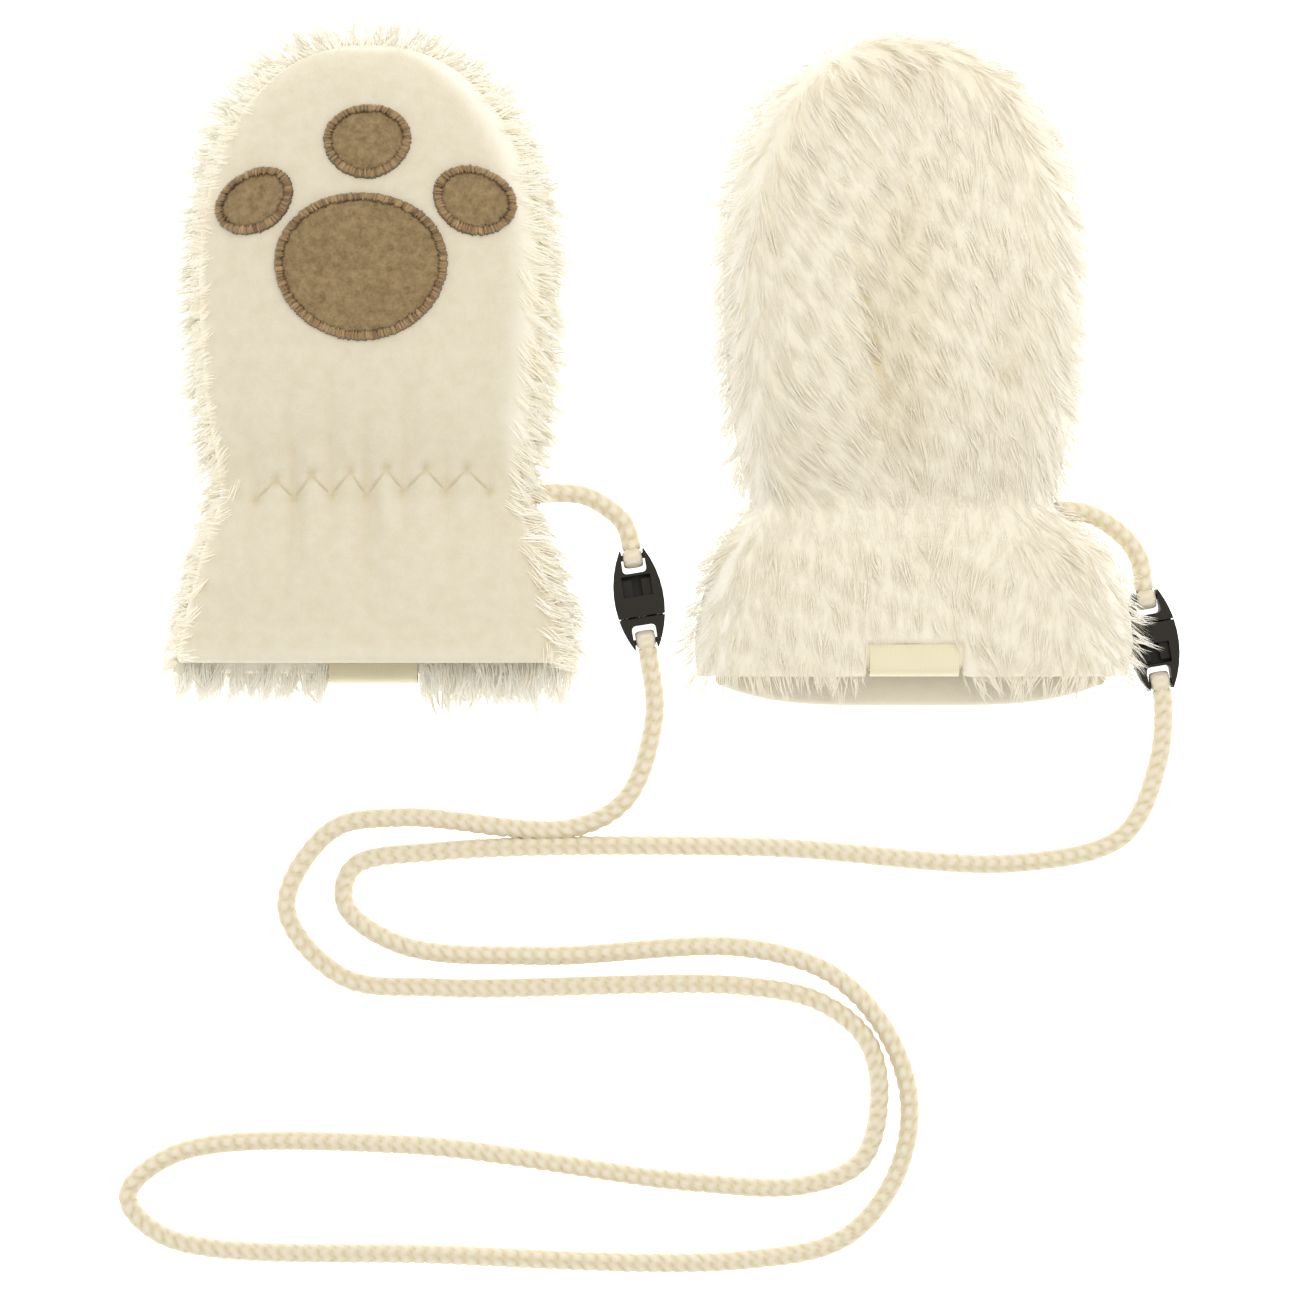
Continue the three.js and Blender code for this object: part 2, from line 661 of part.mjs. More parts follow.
function claspSocket() {
  const middle = CLASP.thick / 2;
  const [w, t] = [CLASP.channelHalf, CLASP.channelThick / 2];
  const [from, to] = CLASP.windowY;
  return cut(
    claspBody(CLASP.jointY + SEAM / 2),
    ...barCutters(),
    block([-w, CLASP.jointY - 1, middle - t], [w, to, middle + t]),
    block([-CLASP.windowHalf, from, middle], [CLASP.windowHalf, to, CLASP.thick + 1]),
  );
}

function claspProng() {
  const { x, halfWidth, thick, reach } = CLASP.prong;
  const middle = CLASP.thick / 2;
  const jointY = CLASP.jointY - SEAM / 2;
  const body = claspBody(-jointY).rotateZ(Math.PI);
  const cutters = barCutters().map((cutter) => cutter.rotateZ(Math.PI));
  let solid = toSolid(cut(body, ...cutters));
  for (const sign of [-1, 1]) {
    const low = [sign * x - halfWidth, jointY - 0.6, middle - thick / 2];
    const high = [sign * x + halfWidth, jointY + reach, middle + thick / 2];
    solid = solid.add(toSolid(block(low, high)));
  }
  return toGeometry(solid);
}

// A point of a clasp's middle line in the part's frame, y from its middle.
function onClasp(clasp, y) {
  const turn = radians(clasp.turn);
  return { x: clasp.x - y * Math.sin(turn), y: clasp.y + y * Math.cos(turn), z: CLASP.thick / 2 };
}

// A curve whose even steps follow its points, so that tight bends get more of them.
class PointPacedCurve extends THREE.CatmullRomCurve3 {
  getUtoTmapping(u) {
    return u;
  }
}

function cord(points, steps) {
  const path = points.map((p) => new THREE.Vector3(p.x, p.y, p.z ?? CORD.z));
  const section = new THREE.Shape();
  for (let k = 0; k < CORD.sides; k++) {
    const angle = ((k + 0.5) / CORD.sides) * 2 * Math.PI;
    const [x, y] = [CORD.radius * Math.cos(angle), CORD.radius * Math.sin(angle)];
    if (k === 0) section.moveTo(x, y);
    else section.lineTo(x, y);
  }
  return new THREE.ExtrudeGeometry(section, { steps, extrudePath: new PointPacedCurve(path) });
}

// Room for a cord where it leaves the side seam.
function cordRoom(exit, next) {
  const from = new THREE.Vector3(exit.x, exit.y, exit.z);
  const along = new THREE.Vector3(next.x, next.y, next.z).sub(from);
  const length = along.length() + 2 * SEAM;
  const room = new THREE.CylinderGeometry(CORD.radius + 0.4, CORD.radius + 0.4, length, 10);
  room.translate(0, length / 2 - SEAM, 0);
  const up = new THREE.Vector3(0, 1, 0);
  const turn = new THREE.Quaternion().setFromUnitVectors(up, along.normalize());
  return room.applyQuaternion(turn).translate(from.x, from.y, from.z);
}

// Room over and round the clasp that lies under the fur of the right cuff.
function claspRoom(clasp) {
  const grow = 0.5;
  const outline = [];
  const steps = 8;
  for (let k = 0; k <= steps; k++) {
    const y = THREE.MathUtils.lerp(-CLASP.halfLength, CLASP.halfLength, k / steps);
    outline.push(new THREE.Vector2(lensHalf(y) + grow, y * 1.05));
  }
  const other = outline.map((p) => new THREE.Vector2(-p.x, p.y)).reverse();
  const geometry = new THREE.ExtrudeGeometry(new THREE.Shape([...outline, ...other]), {
    depth: CLASP.thick + grow + 1,
    bevelEnabled: false,
  });
  return geometry.rotateZ(radians(clasp.turn)).translate(clasp.x, clasp.y, -1);
}

// Left mitten
const [leftClasp, rightClasp] = CLASPS;
const leftCordRoom = cordRoom(LEFT_CORD_EXIT, LEFT_CORD_ROUTE[0]);
add("left_palm", cut(leftPalm(), leftCordRoom), "fleece");
add(
  "left_back",
  cut(leftBack(), leftCordRoom, ...labelRoom(LEFT_LABEL, LEFT_LABEL.bottomZ)),
  "plush",
);
add("left_label", label(LEFT_LABEL, LEFT_LABEL.bottomZ), "label");
for (const at of PADS) {
  add("left_" + at.name, raisedPad({ ...at, x: LEFT.centreX + at.x }, abovePalm), "pad");
}

// Right mitten, with its pads pressed flat into the fleece under it
const rightCordRoom = cordRoom(RIGHT_CORD_EXIT, RIGHT_CORD_ROUTE[0]);
const rightCrown = columnAt(RIGHT.rows, "crown", RIGHT_LABEL.foldY + LABEL.leg / 2);
const rightLabelZ = rightCrown - RIGHT_LABEL.sunk - LABEL.height;
const rightPads = PADS.map((at) => ({
  ...at,
  x: RIGHT.centreX + 1 - at.x,
  turn: -at.turn,
}));
const padBeds = rightPads.map((at) => padBed(at, PAD.pressed + SEAM));
add("right_palm", cut(rightPalm(), rightCordRoom, ...padBeds), "fleece");
add(
  "right_back",
  cut(
    rightBack(),
    rightCordRoom,
    claspRoom(rightClasp),
    ...labelRoom(RIGHT_LABEL, rightLabelZ),
  ),
  "plush",
);
add("right_label", label(RIGHT_LABEL, rightLabelZ), "label");
for (const at of rightPads) {
  add("right_" + at.name, flatPad(at), "pad");
}

// Clasps
for (const clasp of CLASPS) {
  const holder = new THREE.Group();
  holder.position.set(clasp.x, clasp.y, 0);
  holder.rotation.z = radians(clasp.turn);
  add("clasp_" + clasp.name + "_socket", claspSocket(), "plastic", holder);
  add("clasp_" + clasp.name + "_prong", claspProng(), "plastic", holder);
  group.add(holder);
}

// Cord in its three lengths: mitten to clasp, clasp to clasp, and clasp to mitten
const leftCord = [
  LEFT_CORD_EXIT,
  ...LEFT_CORD_ROUTE,
  onClasp(leftClasp, CORD_STRAIGHT),
  onClasp(leftClasp, CORD_END),
];
const rightCord = [
  RIGHT_CORD_EXIT,
  ...RIGHT_CORD_ROUTE,
  onClasp(rightClasp, -CORD_STRAIGHT),
  onClasp(rightClasp, -CORD_END),
];
const longCord = [
  onClasp(leftClasp, -CORD_END),
  onClasp(leftClasp, -CORD_STRAIGHT),
  ...LONG_CORD_ROUTE,
  onClasp(rightClasp, CORD_STRAIGHT),
  onClasp(rightClasp, CORD_END),
];
add("cord_left", cord(leftCord, 8), "cord");
add("cord_long", cord(longCord, 72), "cord");
add("cord_right", cord(rightCord, 8), "cord");

export default group;
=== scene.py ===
"""A pair of thumbless baby mittens on a knitted cord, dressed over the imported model.

Shapes are worked out in millimetres and put into Blender in metres. X runs to the right, Y towards
the finger tips and Z up from the surface that the mittens lie on.
"""

import logging
import math
from dataclasses import dataclass
from enum import Enum
from typing import Any

import bmesh
import bpy
import numpy as np
from numpy.typing import NDArray
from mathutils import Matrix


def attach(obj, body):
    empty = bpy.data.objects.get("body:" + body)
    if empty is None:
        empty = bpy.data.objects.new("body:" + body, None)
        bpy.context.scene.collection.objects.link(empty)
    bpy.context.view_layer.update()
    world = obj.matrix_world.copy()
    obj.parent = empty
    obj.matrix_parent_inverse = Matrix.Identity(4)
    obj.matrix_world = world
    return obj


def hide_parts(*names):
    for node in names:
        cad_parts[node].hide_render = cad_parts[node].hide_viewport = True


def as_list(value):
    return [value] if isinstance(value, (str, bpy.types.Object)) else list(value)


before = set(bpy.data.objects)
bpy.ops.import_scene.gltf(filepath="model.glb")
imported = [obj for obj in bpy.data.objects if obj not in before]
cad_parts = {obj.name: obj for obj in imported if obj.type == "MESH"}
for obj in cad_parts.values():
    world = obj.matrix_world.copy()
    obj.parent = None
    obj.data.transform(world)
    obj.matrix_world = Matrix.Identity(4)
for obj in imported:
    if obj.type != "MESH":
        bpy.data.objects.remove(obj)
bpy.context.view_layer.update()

Array = NDArray[np.float64]

LOG = logging.getLogger("mittens")

MM = 0.001
SEAM = 0.3
FLEECE = 2.2
SHOULDER_Y = 19.0
PALM_TIP_Y = 70.2
WRIST_Y = -27.0
PLAN_POWER = 2.2
SECTION_POWER = 3.0
WELD_M = 2e-6


def linear(colour: str) -> tuple[float, float, float, float]:
    """Turns an sRGB hex colour into linear RGBA.

    Args:
        colour: the colour as #RRGGBB.

    Returns:
        Linear red, green, blue and an alpha of 1.
    """
    parts = [int(colour[k : k + 2], 16) / 255 for k in (1, 3, 5)]
    red, green, blue = (c / 12.92 if c <= 0.04045 else ((c + 0.055) / 1.055) ** 2.4 for c in parts)
    return (red, green, blue, 1.0)


def smoothstep(value: Array, low: float, high: float) -> Array:
    """The smooth step from 0 at low to 1 at high, 3t^2 - 2t^3."""
    t = np.clip((value - low) / (high - low), 0, 1)
    return t * t * (3 - 2 * t)


def pillow(reach: Array) -> Array:
    """Height of a pillow-like section: the cube root of 1 minus reach cubed, 1 at its middle."""
    return np.clip(1 - np.abs(reach) ** SECTION_POWER, 0, None) ** (1 / SECTION_POWER)


def unit(vectors: Array) -> Array:
    """Vectors along the last axis, scaled to length 1."""
    return vectors / np.maximum(np.linalg.norm(vectors, axis=-1, keepdims=True), 1e-9)


def grid_faces(rows: int, columns: int, around: bool) -> NDArray[np.int64]:
    """Quads of a grid whose points are numbered row by row.

    Args:
        rows: number of rows of points.
        columns: number of points in a row.
        around: whether a row closes on itself.

    Returns:
        One line of four point numbers for each quad.
    """
    row = np.arange(rows - 1)[:, None] * columns
    here = np.arange(columns if around else columns - 1)[None, :]
    after = (here + 1) % columns
    quads = np.stack([row + here, row + after, row + columns + after, row + columns + here], -1)
    return quads.reshape(-1, 4)


def signed_volume(points: Array, faces: list[NDArray[np.int64]]) -> float:
    """Volume that faces enclose, negative where they point inwards: a sixth of a . (b x c)."""
    total = 0.0
    for group in faces:
        for k in range(1, group.shape[1] - 1):
            a, b, c = (points[group[:, j]] for j in (0, k, k + 1))
            total += float(np.einsum("ij,ij->", a, np.cross(b, c))) / 6
    return total


def make_piece(
    name: str,
    points: Array,
    faces: list[NDArray[np.int64]],
    finish: bpy.types.Material,
    values: dict[str, Array] | None = None,
    crisp: float = 50.0,
) -> bpy.types.Object:
    """Puts points and faces into a mesh object that stands at the origin.

    Args:
        name: name of the piece.
        points: its points in millimetres, three numbers each.
        faces: arrays of faces, each array with one number of corners.
        finish: the material.
        values: one number for each point, by the name of the attribute that the finish reads.
        crisp: edges that turn by more than this many degrees stay sharp, all of them at 0.

    Returns:
        The object, with its faces pointing out.
    """
    if signed_volume(points, faces) < 0:
        faces = [group[:, ::-1] for group in faces]
    counts = np.concatenate([np.full(len(group), group.shape[1]) for group in faces])
    corners = np.concatenate([group.ravel() for group in faces]).astype(np.int32)
    mesh = bpy.data.meshes.new(name)
    mesh.vertices.add(len(points))
    mesh.vertices.foreach_set("co", (points * MM).astype(np.float32).ravel())
    mesh.loops.add(len(corners))
    mesh.loops.foreach_set("vertex_index", corners)
    mesh.polygons.add(len(counts))
    starts = np.concatenate([[0], np.cumsum(counts)[:-1]]).astype(np.int32)
    mesh.polygons.foreach_set("loop_start", starts)
    for key, value in (values or {}).items():
        attribute = mesh.attributes.new(key, "FLOAT", "POINT")
        attribute.data.foreach_set("value", np.asarray(value, np.float32).ravel())
    mesh.update(calc_edges=True)
    mesh.validate()
    mesh.materials.append(finish)
    piece = bpy.data.objects.new(name, mesh)
    bpy.context.scene.collection.objects.link(piece)
    mesh.polygons.foreach_set("use_smooth", np.full(len(mesh.polygons), crisp > 0))
    if 0 < crisp < 180:
        mesh.set_sharp_from_angle(angle=math.radians(crisp))
    return piece


def weld(piece: bpy.types.Object) -> bpy.types.Object:
    """Merges points that lie on each other, which closes poles and seams."""
    sheet = bmesh.new()
    sheet.from_mesh(piece.data)
    bmesh.ops.remove_doubles(sheet, verts=sheet.verts, dist=WELD_M)
    bmesh.ops.dissolve_degenerate(sheet, edges=sheet.edges, dist=WELD_M / 4)
    sheet.to_mesh(piece.data)
    sheet.free()
    return piece


def dress(piece: bpy.types.Object, slot: str, *nodes: str) -> bpy.types.Object:
    """Fastens a piece to the part's body and hides the nodes that it stands for."""
    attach(piece, "root")
    if nodes:
        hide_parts(*nodes)
    LOG.info("%s: %d faces", piece.name, len(piece.data.polygons))
    return piece


# Finishes


def add_node(
    tree: bpy.types.NodeTree,
    kind: str,
    settings: dict[str | int, Any] | None = None,
    links: dict[str | int, bpy.types.NodeSocket] | None = None,
) -> bpy.types.Node:
    """Adds one node to a material.

    Args:
        tree: the material's nodes.
        kind: the type of the node.
        settings: values by the name or number of an input, or by the name of a property.
        links: the socket that feeds an input, by the input's name or number.

    Returns:
        The node.
    """
    node = tree.nodes.new(kind)
    for key, value in (settings or {}).items():
        if isinstance(key, int) or key in node.inputs:
            node.inputs[key].default_value = value
        else:
            setattr(node, key, value)
    for key, socket in (links or {}).items():
        tree.links.new(socket, node.inputs[key])
    return node


def new_material(name: str) -> tuple[bpy.types.Material, bpy.types.NodeTree, bpy.types.Node]:
    """An empty material with its output and a Principled shader joined to it."""
    material = bpy.data.materials.new(name)
    material.use_nodes = True
    tree = material.node_tree
    tree.nodes.clear()
    shader = add_node(tree, "ShaderNodeBsdfPrincipled")
    links = {"Surface": shader.outputs["BSDF"]}
    add_node(tree, "ShaderNodeOutputMaterial", links=links)
    return material, tree, shader


MIX_A, MIX_B, MIX_RESULT = 6, 7, 2


def mix_colours(
    tree: bpy.types.NodeTree,
    share: bpy.types.NodeSocket,
    first: bpy.types.NodeSocket | str,
    second: bpy.types.NodeSocket | str,
) -> bpy.types.NodeSocket:
    """Mixes two colours, each a hex value or a socket, by a share from 0 to 1."""
    settings: dict[str | int, Any] = {"data_type": "RGBA"}
    links: dict[str | int, bpy.types.NodeSocket] = {0: share}
    node = add_node(tree, "ShaderNodeMix", settings, links)
    for index, colour in ((MIX_A, first), (MIX_B, second)):
        if isinstance(colour, str):
            node.inputs[index].default_value = linear(colour)
        else:
            tree.links.new(colour, node.inputs[index])
    return node.outputs[MIX_RESULT]


def per_metre(size_mm: float) -> float:
    """Scale of a texture on Object coordinates whose features are this many millimetres wide."""
    return 1 / (size_mm * MM)


@dataclass(frozen=True)
class Fleece:
    """Microfleece: knitted polyester, brushed and sheared to a short felt-like nap.

    The nap scatters light, so the cloth is matt with a faint bloom at grazing angles, and its
    colour drifts a little from one patch to the next. The attribute pale paints the nap paler
    towards a seam or an edge, painted light, and a second attribute paints it darker and browner
    in folds and pits, painted shade.
    """

    name: str
    colour: str
    shade: str
    # Painted light: the colour that the attribute pale mixes in.
    pale: str
    # Painted shade: the colour of folds and pits.
    painted_shade: str
    nap_mm: float = 0.55
    patch_mm: float = 3.4
    bump: float = 0.5
    sheen: float = 0.25

    def build(self) -> bpy.types.Material:
        """Makes the material."""
        material, tree, shader = new_material(self.name)
        place = add_node(tree, "ShaderNodeTexCoord").outputs["Object"]
        nap = add_node(
            tree,
            "ShaderNodeTexNoise",
            {"Scale": per_metre(self.nap_mm), "Detail": 4.0, "Roughness": 0.65},
            {"Vector": place},
        )
        patch = add_node(
            tree,
            "ShaderNodeTexNoise",
            {"Scale": per_metre(self.patch_mm), "Detail": 3.0, "Roughness": 0.6},
            {"Vector": place},
        )
        both = add_node(
            tree,
            "ShaderNodeMath",
            {"operation": "MULTIPLY_ADD", 1: 0.55},
            {0: nap.outputs["Fac"], 2: patch.outputs["Fac"]},
        )
        spread = add_node(
            tree,
            "ShaderNodeMapRange",
            {"From Min": 0.52, "From Max": 1.02},
            {"Value": both.outputs[0]},
        )
        cloth = mix_colours(tree, spread.outputs[0], self.shade, self.colour)
        # Painted light: the attribute pale mixes in the pale colour.
        edge = add_node(tree, "ShaderNodeAttribute", {"attribute_name": "pale"})
        tint = mix_colours(tree, edge.outputs["Fac"], cloth, self.pale)
        # Painted shade: the second attribute mixes in the colour of folds and pits.
        fold = add_node(tree, "ShaderNodeAttribute", {"attribute_name": "painted_shade"})
        toned = mix_colours(tree, fold.outputs["Fac"], tint, self.painted_shade)
        tree.links.new(toned, shader.inputs["Base Color"])
        relief = add_node(
            tree,
            "ShaderNodeBump",
            {"Strength": self.bump, "Distance": 0.35 * MM},
            {"Height": both.outputs[0]},
        )
        tree.links.new(relief.outputs["Normal"], shader.inputs["Normal"])
        shader.inputs["Roughness"].default_value = 0.95
        shader.inputs["Specular IOR Level"].default_value = 0.2
        shader.inputs["Sheen Weight"].default_value = self.sheen
        shader.inputs["Sheen Roughness"].default_value = 0.5
        return material


@dataclass(frozen=True)
class Pile:
    """Long-pile plush: fine crimped polyester fibres that gather into soft locks.

    Light passes from fibre to fibre, and the colour from root to tip stands for it as painted
    shade: roots and the gaps between locks are painted darker and warmer than the tips. The
    attribute along runs from root to tip. The attribute pale makes a lock paler at random and an
    edge paler, painted light, up to 1, and below 0 it paints the pile warmer and darker as
    painted shade, down to -1.
    """

    name: str
    root: str
    tip: str
    pale: str
    # Painted shade: the warmer, darker colour that pale below 0 mixes in.
    warm_shade: str

    def build(self) -> bpy.types.Material:
        """Makes the material."""
        material, tree, shader = new_material(self.name)
        along = add_node(tree, "ShaderNodeAttribute", {"attribute_name": "along"})
        pale = add_node(tree, "ShaderNodeAttribute", {"attribute_name": "pale"})
        # Root to tip: painted shade low in the pile.
        body = mix_colours(tree, along.outputs["Fac"], self.root, self.tip)
        # Below 0, pale mixes in painted shade.
        settings: dict[str | int, Any] = {"operation": "MULTIPLY", 1: -1.0}
        painted_warm_shade = add_node(tree, "ShaderNodeMath", settings, {0: pale.outputs["Fac"]})
        warmed = mix_colours(tree, painted_warm_shade.outputs[0], body, self.warm_shade)
        toned = mix_colours(tree, pale.outputs["Fac"], warmed, self.pale)
        tree.links.new(toned, shader.inputs["Base Color"])
        place = add_node(tree, "ShaderNodeTexCoord").outputs["Object"]
        fuzz = add_node(
            tree,
            "ShaderNodeTexNoise",
            {"Scale": per_metre(0.5), "Detail": 4.0, "Roughness": 0.7},
            {"Vector": place},
        )
        relief = add_node(
            tree,
            "ShaderNodeBump",
            {"Strength": 0.5, "Distance": 0.25 * MM},
            {"Height": fuzz.outputs["Fac"]},
        )
        tree.links.new(relief.outputs["Normal"], shader.inputs["Normal"])
        shader.inputs["Roughness"].default_value = 0.8
        shader.inputs["Specular IOR Level"].default_value = 0.15
        shader.inputs["Sheen Weight"].default_value = 0.2
        shader.inputs["Sheen Roughness"].default_value = 0.4
        return material


@dataclass(frozen=True)
class Thread:
    """Embroidery thread of trilobal polyester: a silky twist whose stitches catch light on top.

    The attribute across runs from 0 at the inner edge of the stitched border to 1 at its outer
    edge, and the colour is darkest at both edges, painted shade where the border meets the cloth.
    The attribute tone gives each stitch its own lightness and adds a painted highlight on the
    ridge of each stitch and the top of the border.
    """

    name: str
    # Painted shade at both edges of the border.
    edge_shade: str
    mid: str
    # Painted highlight on the stitches' tops, mixed in by tone with a random share for each stitch.
    light: str

    def build(self) -> bpy.types.Material:
        """Makes the material."""
        material, tree, shader = new_material(self.name)
        across = add_node(tree, "ShaderNodeAttribute", {"attribute_name": "across"})
        tone = add_node(tree, "ShaderNodeAttribute", {"attribute_name": "tone"})
        ramp = add_node(tree, "ShaderNodeValToRGB", links={"Fac": across.outputs["Fac"]})
        # Darker at both edges: painted shade where the border meets the cloth.
        stops = [(0.0, self.edge_shade), (0.16, self.edge_shade), (0.34, self.mid), (0.84, self.mid)]
        band = ramp.color_ramp
        while len(band.elements) < len(stops) + 1:
            band.elements.new(0.5)
        for element, (position, colour) in zip(band.elements, [*stops, (1.0, self.edge_shade)]):
            element.position = position
            element.color = linear(colour)
        lit = mix_colours(tree, tone.outputs["Fac"], ramp.outputs["Color"], self.light)
        tree.links.new(lit, shader.inputs["Base Color"])
        shader.inputs["Roughness"].default_value = 0.42
        shader.inputs["Sheen Weight"].default_value = 0.15
        return material


@dataclass(frozen=True)
class Cotton:
    """Knitted cotton cord: soft spun yarn, matt, with darker hollows between its stitches.

    The attribute hollow is 1 where the cord sinks between stitches and 0 on top of a stitch, and it
    paints those places darker, painted shade. The fibres of the yarn are finer than a pixel, so
    they are drawn about three times as coarse.
    """

    name: str
    yarn: str
    # Painted shade: the colour between the stitches.
    painted_shade: str
    fibre_mm: float = 0.22

    def build(self) -> bpy.types.Material:
        """Makes the material."""
        material, tree, shader = new_material(self.name)
        painted_hollow_shade = add_node(tree, "ShaderNodeAttribute", {"attribute_name": "painted_hollow_shade"})
        place = add_node(tree, "ShaderNodeTexCoord").outputs["Object"]
        fibre = add_node(
            tree,
            "ShaderNodeTexNoise",
            {"Scale": per_metre(self.fibre_mm), "Detail": 3.0, "Roughness": 0.7},
            {"Vector": place},
        )
        # Painted shade: darker where the cord sinks between stitches.
        tree.links.new(
            mix_colours(tree, painted_hollow_shade.outputs["Fac"], self.yarn, self.painted_shade),
            shader.inputs["Base Color"],
        )
        relief = add_node(
            tree,
            "ShaderNodeBump",
            {"Strength": 0.5, "Distance": 0.12 * MM},
            {"Height": fibre.outputs["Fac"]},
        )
        tree.links.new(relief.outputs["Normal"], shader.inputs["Normal"])
        shader.inputs["Roughness"].default_value = 0.9
        shader.inputs["Specular IOR Level"].default_value = 0.2
        shader.inputs["Sheen Weight"].default_value = 0.2
        return material


@dataclass(frozen=True)
class Tape:
    """Woven label tape: fine polyester satin, smooth with a soft shine and a barely seen weave."""

    name: str
    colour: str
    shade: str
    thread_mm: float = 0.42

    def build(self) -> bpy.types.Material:
        """Makes the material."""
        material, tree, shader = new_material(self.name)
        place = add_node(tree, "ShaderNodeTexCoord").outputs["Object"]
        heights = []
        for direction in ("X", "Y"):
            wave = add_node(
                tree,
                "ShaderNodeTexWave",
                {
                    "wave_type": "BANDS",
                    "bands_direction": direction,
                    "Scale": per_metre(self.thread_mm) * math.pi / 10,
                    "Distortion": 0.4,
                    "Detail": 1.0,
                },
                {"Vector": place},
            )
            heights.append(wave.outputs["Fac"])
        weave = add_node(
            tree, "ShaderNodeMath", {"operation": "MULTIPLY"}, {0: heights[0], 1: heights[1]}
        )
        tree.links.new(
            mix_colours(tree, weave.outputs[0], self.shade, self.colour),
            shader.inputs["Base Color"],
        )
        relief = add_node(
            tree,
            "ShaderNodeBump",
            {"Strength": 0.35, "Distance": 0.05 * MM},
            {"Height": weave.outputs[0]},
        )
        tree.links.new(relief.outputs["Normal"], shader.inputs["Normal"])
        shader.inputs["Roughness"].default_value = 0.55
        shader.inputs["Sheen Weight"].default_value = 0.15
        return material


@dataclass(frozen=True)
class Acetal:
    """Injection-moulded black acetal: a fine spark-eroded skin that gives broad dim highlights."""

    name: str
    colour: str
    worn: str
    grain_mm: float = 0.18

    def build(self) -> bpy.types.Material:
        """Makes the material."""
        material, tree, shader = new_material(self.name)
        place = add_node(tree, "ShaderNodeTexCoord").outputs["Object"]
        grain = add_node(
            tree,
            "ShaderNodeTexNoise",
            {"Scale": per_metre(self.grain_mm), "Detail": 2.0},
            {"Vector": place},
        )
        cloud = add_node(
            tree,
            "ShaderNodeTexNoise",
            {"Scale": per_metre(4.0), "Detail": 3.0},
            {"Vector": place},
        )
        tree.links.new(
            mix_colours(tree, cloud.outputs["Fac"], self.colour, self.worn),
            shader.inputs["Base Color"],
        )
        relief = add_node(
            tree,
            "ShaderNodeBump",
            {"Strength": 0.18, "Distance": 0.03 * MM},
            {"Height": grain.outputs["Fac"]},
        )
        tree.links.new(relief.outputs["Normal"], shader.inputs["Normal"])
        rough = add_node(
            tree,
            "ShaderNodeMapRange",
            {"To Min": 0.42, "To Max": 0.58},
            {"Value": cloud.outputs["Fac"]},
        )
        tree.links.new(rough.outputs[0], shader.inputs["Roughness"])
        shader.inputs["Specular IOR Level"].default_value = 0.22
        return material


@dataclass(frozen=True)
class Opal:
    """Opal acrylic of a light table, lit from below, so what lies on it throws hardly a shadow."""

    name: str
    colour: str
    glow: float

    def build(self) -> bpy.types.Material:
        """Makes the material."""
        material, _, shader = new_material(self.name)
        shader.inputs["Base Color"].default_value = linear(self.colour)
        shader.inputs["Roughness"].default_value = 1.0
        shader.inputs["Specular IOR Level"].default_value = 0.0
        shader.inputs["Emission Color"].default_value = linear("#FFFFFF")
        shader.inputs["Emission Strength"].default_value = self.glow
        material.cycles.emission_sampling = "NONE"
        return material


@dataclass
class Finishes:
    """Every material of the part, made once."""

    def __post_init__(self) -> None:
        """Builds the materials."""
        # The palm's pale colour is painted light at its edges and hem lip, and its last colour is
        # painted shade in folds and pits.
        self.palm = Fleece(
            "microfleece_cream", "#DBD2BC", "#D3C9AF", "#F3EDDD", "#BCAA7C"
        ).build()
        self.pad = Fleece(
            "microfleece_brown", "#9E8661", "#766140", "#9E8661", "#645036", 0.6, 1.7, 1.0, 0.2
        ).build()
        # The backing's pale colour is painted light on its inner faces.
        self.skin = Fleece(
            "plush_backing", "#E9E0CB", "#E2D8BF", "#F6EFE0", "#C0AE83", 0.9, 3.0, 0.7, 0.1
        ).build()
        # The pile's root colour is painted shade low between locks, its pale colour painted light at
        # edges besides random paler locks, and its last colour painted shade.
        self.pile = Pile("plush_pile", "#E8DFC6", "#ECE4D1", "#FFFDF5", "#CCBC90").build()
        # A paler copy of the pile for the fringe and the palm's fuzz: painted light.
        self.fringe = Pile("plush_pile_painted_light", "#F0E6CC", "#F8F1DD", "#FFFEF6", "#DCCDA9").build()
        # The thread's first colour is painted shade at the border's edges and its last a painted
        # highlight.
        self.satin = Thread("embroidery_thread", "#382812", "#7F6544", "#BD9F72").build()
        self.sewing = Thread("sewing_thread", "#BFB18C", "#C9BC98", "#D2C7A9").build()
        # The cord's second colour is painted shade between its stitches.
        self.cord = Cotton("knitted_cotton_cord", "#E6DDC8", "#CDBC90").build()
        self.tape = Tape("woven_label_tape", "#E8E0C8", "#DCD2AD").build()
        # Both colours are tinted brown, a painted reflection of the cream fur.
        self.plastic = Acetal("moulded_acetal", "#1C1810", "#241F15").build()
        self.table = Opal("light_table", "#FBFBFB", 1.1).build()


# Forms shared by both mittens


@dataclass(frozen=True)
class Row:
    """Sizes of a mitten at one y: middle line, half-widths of palm and fur, and crown."""

    y: float
    centre: float
    palm: float
    fur: float
    crown: float


@dataclass(frozen=True)
class Section:
    """The same sizes at many y, with the share of width and of rise that a round tip leaves."""

    middle: Array
    palm: Array
    fur: Array
    crown: Array
    narrow: Array
    rise: Array


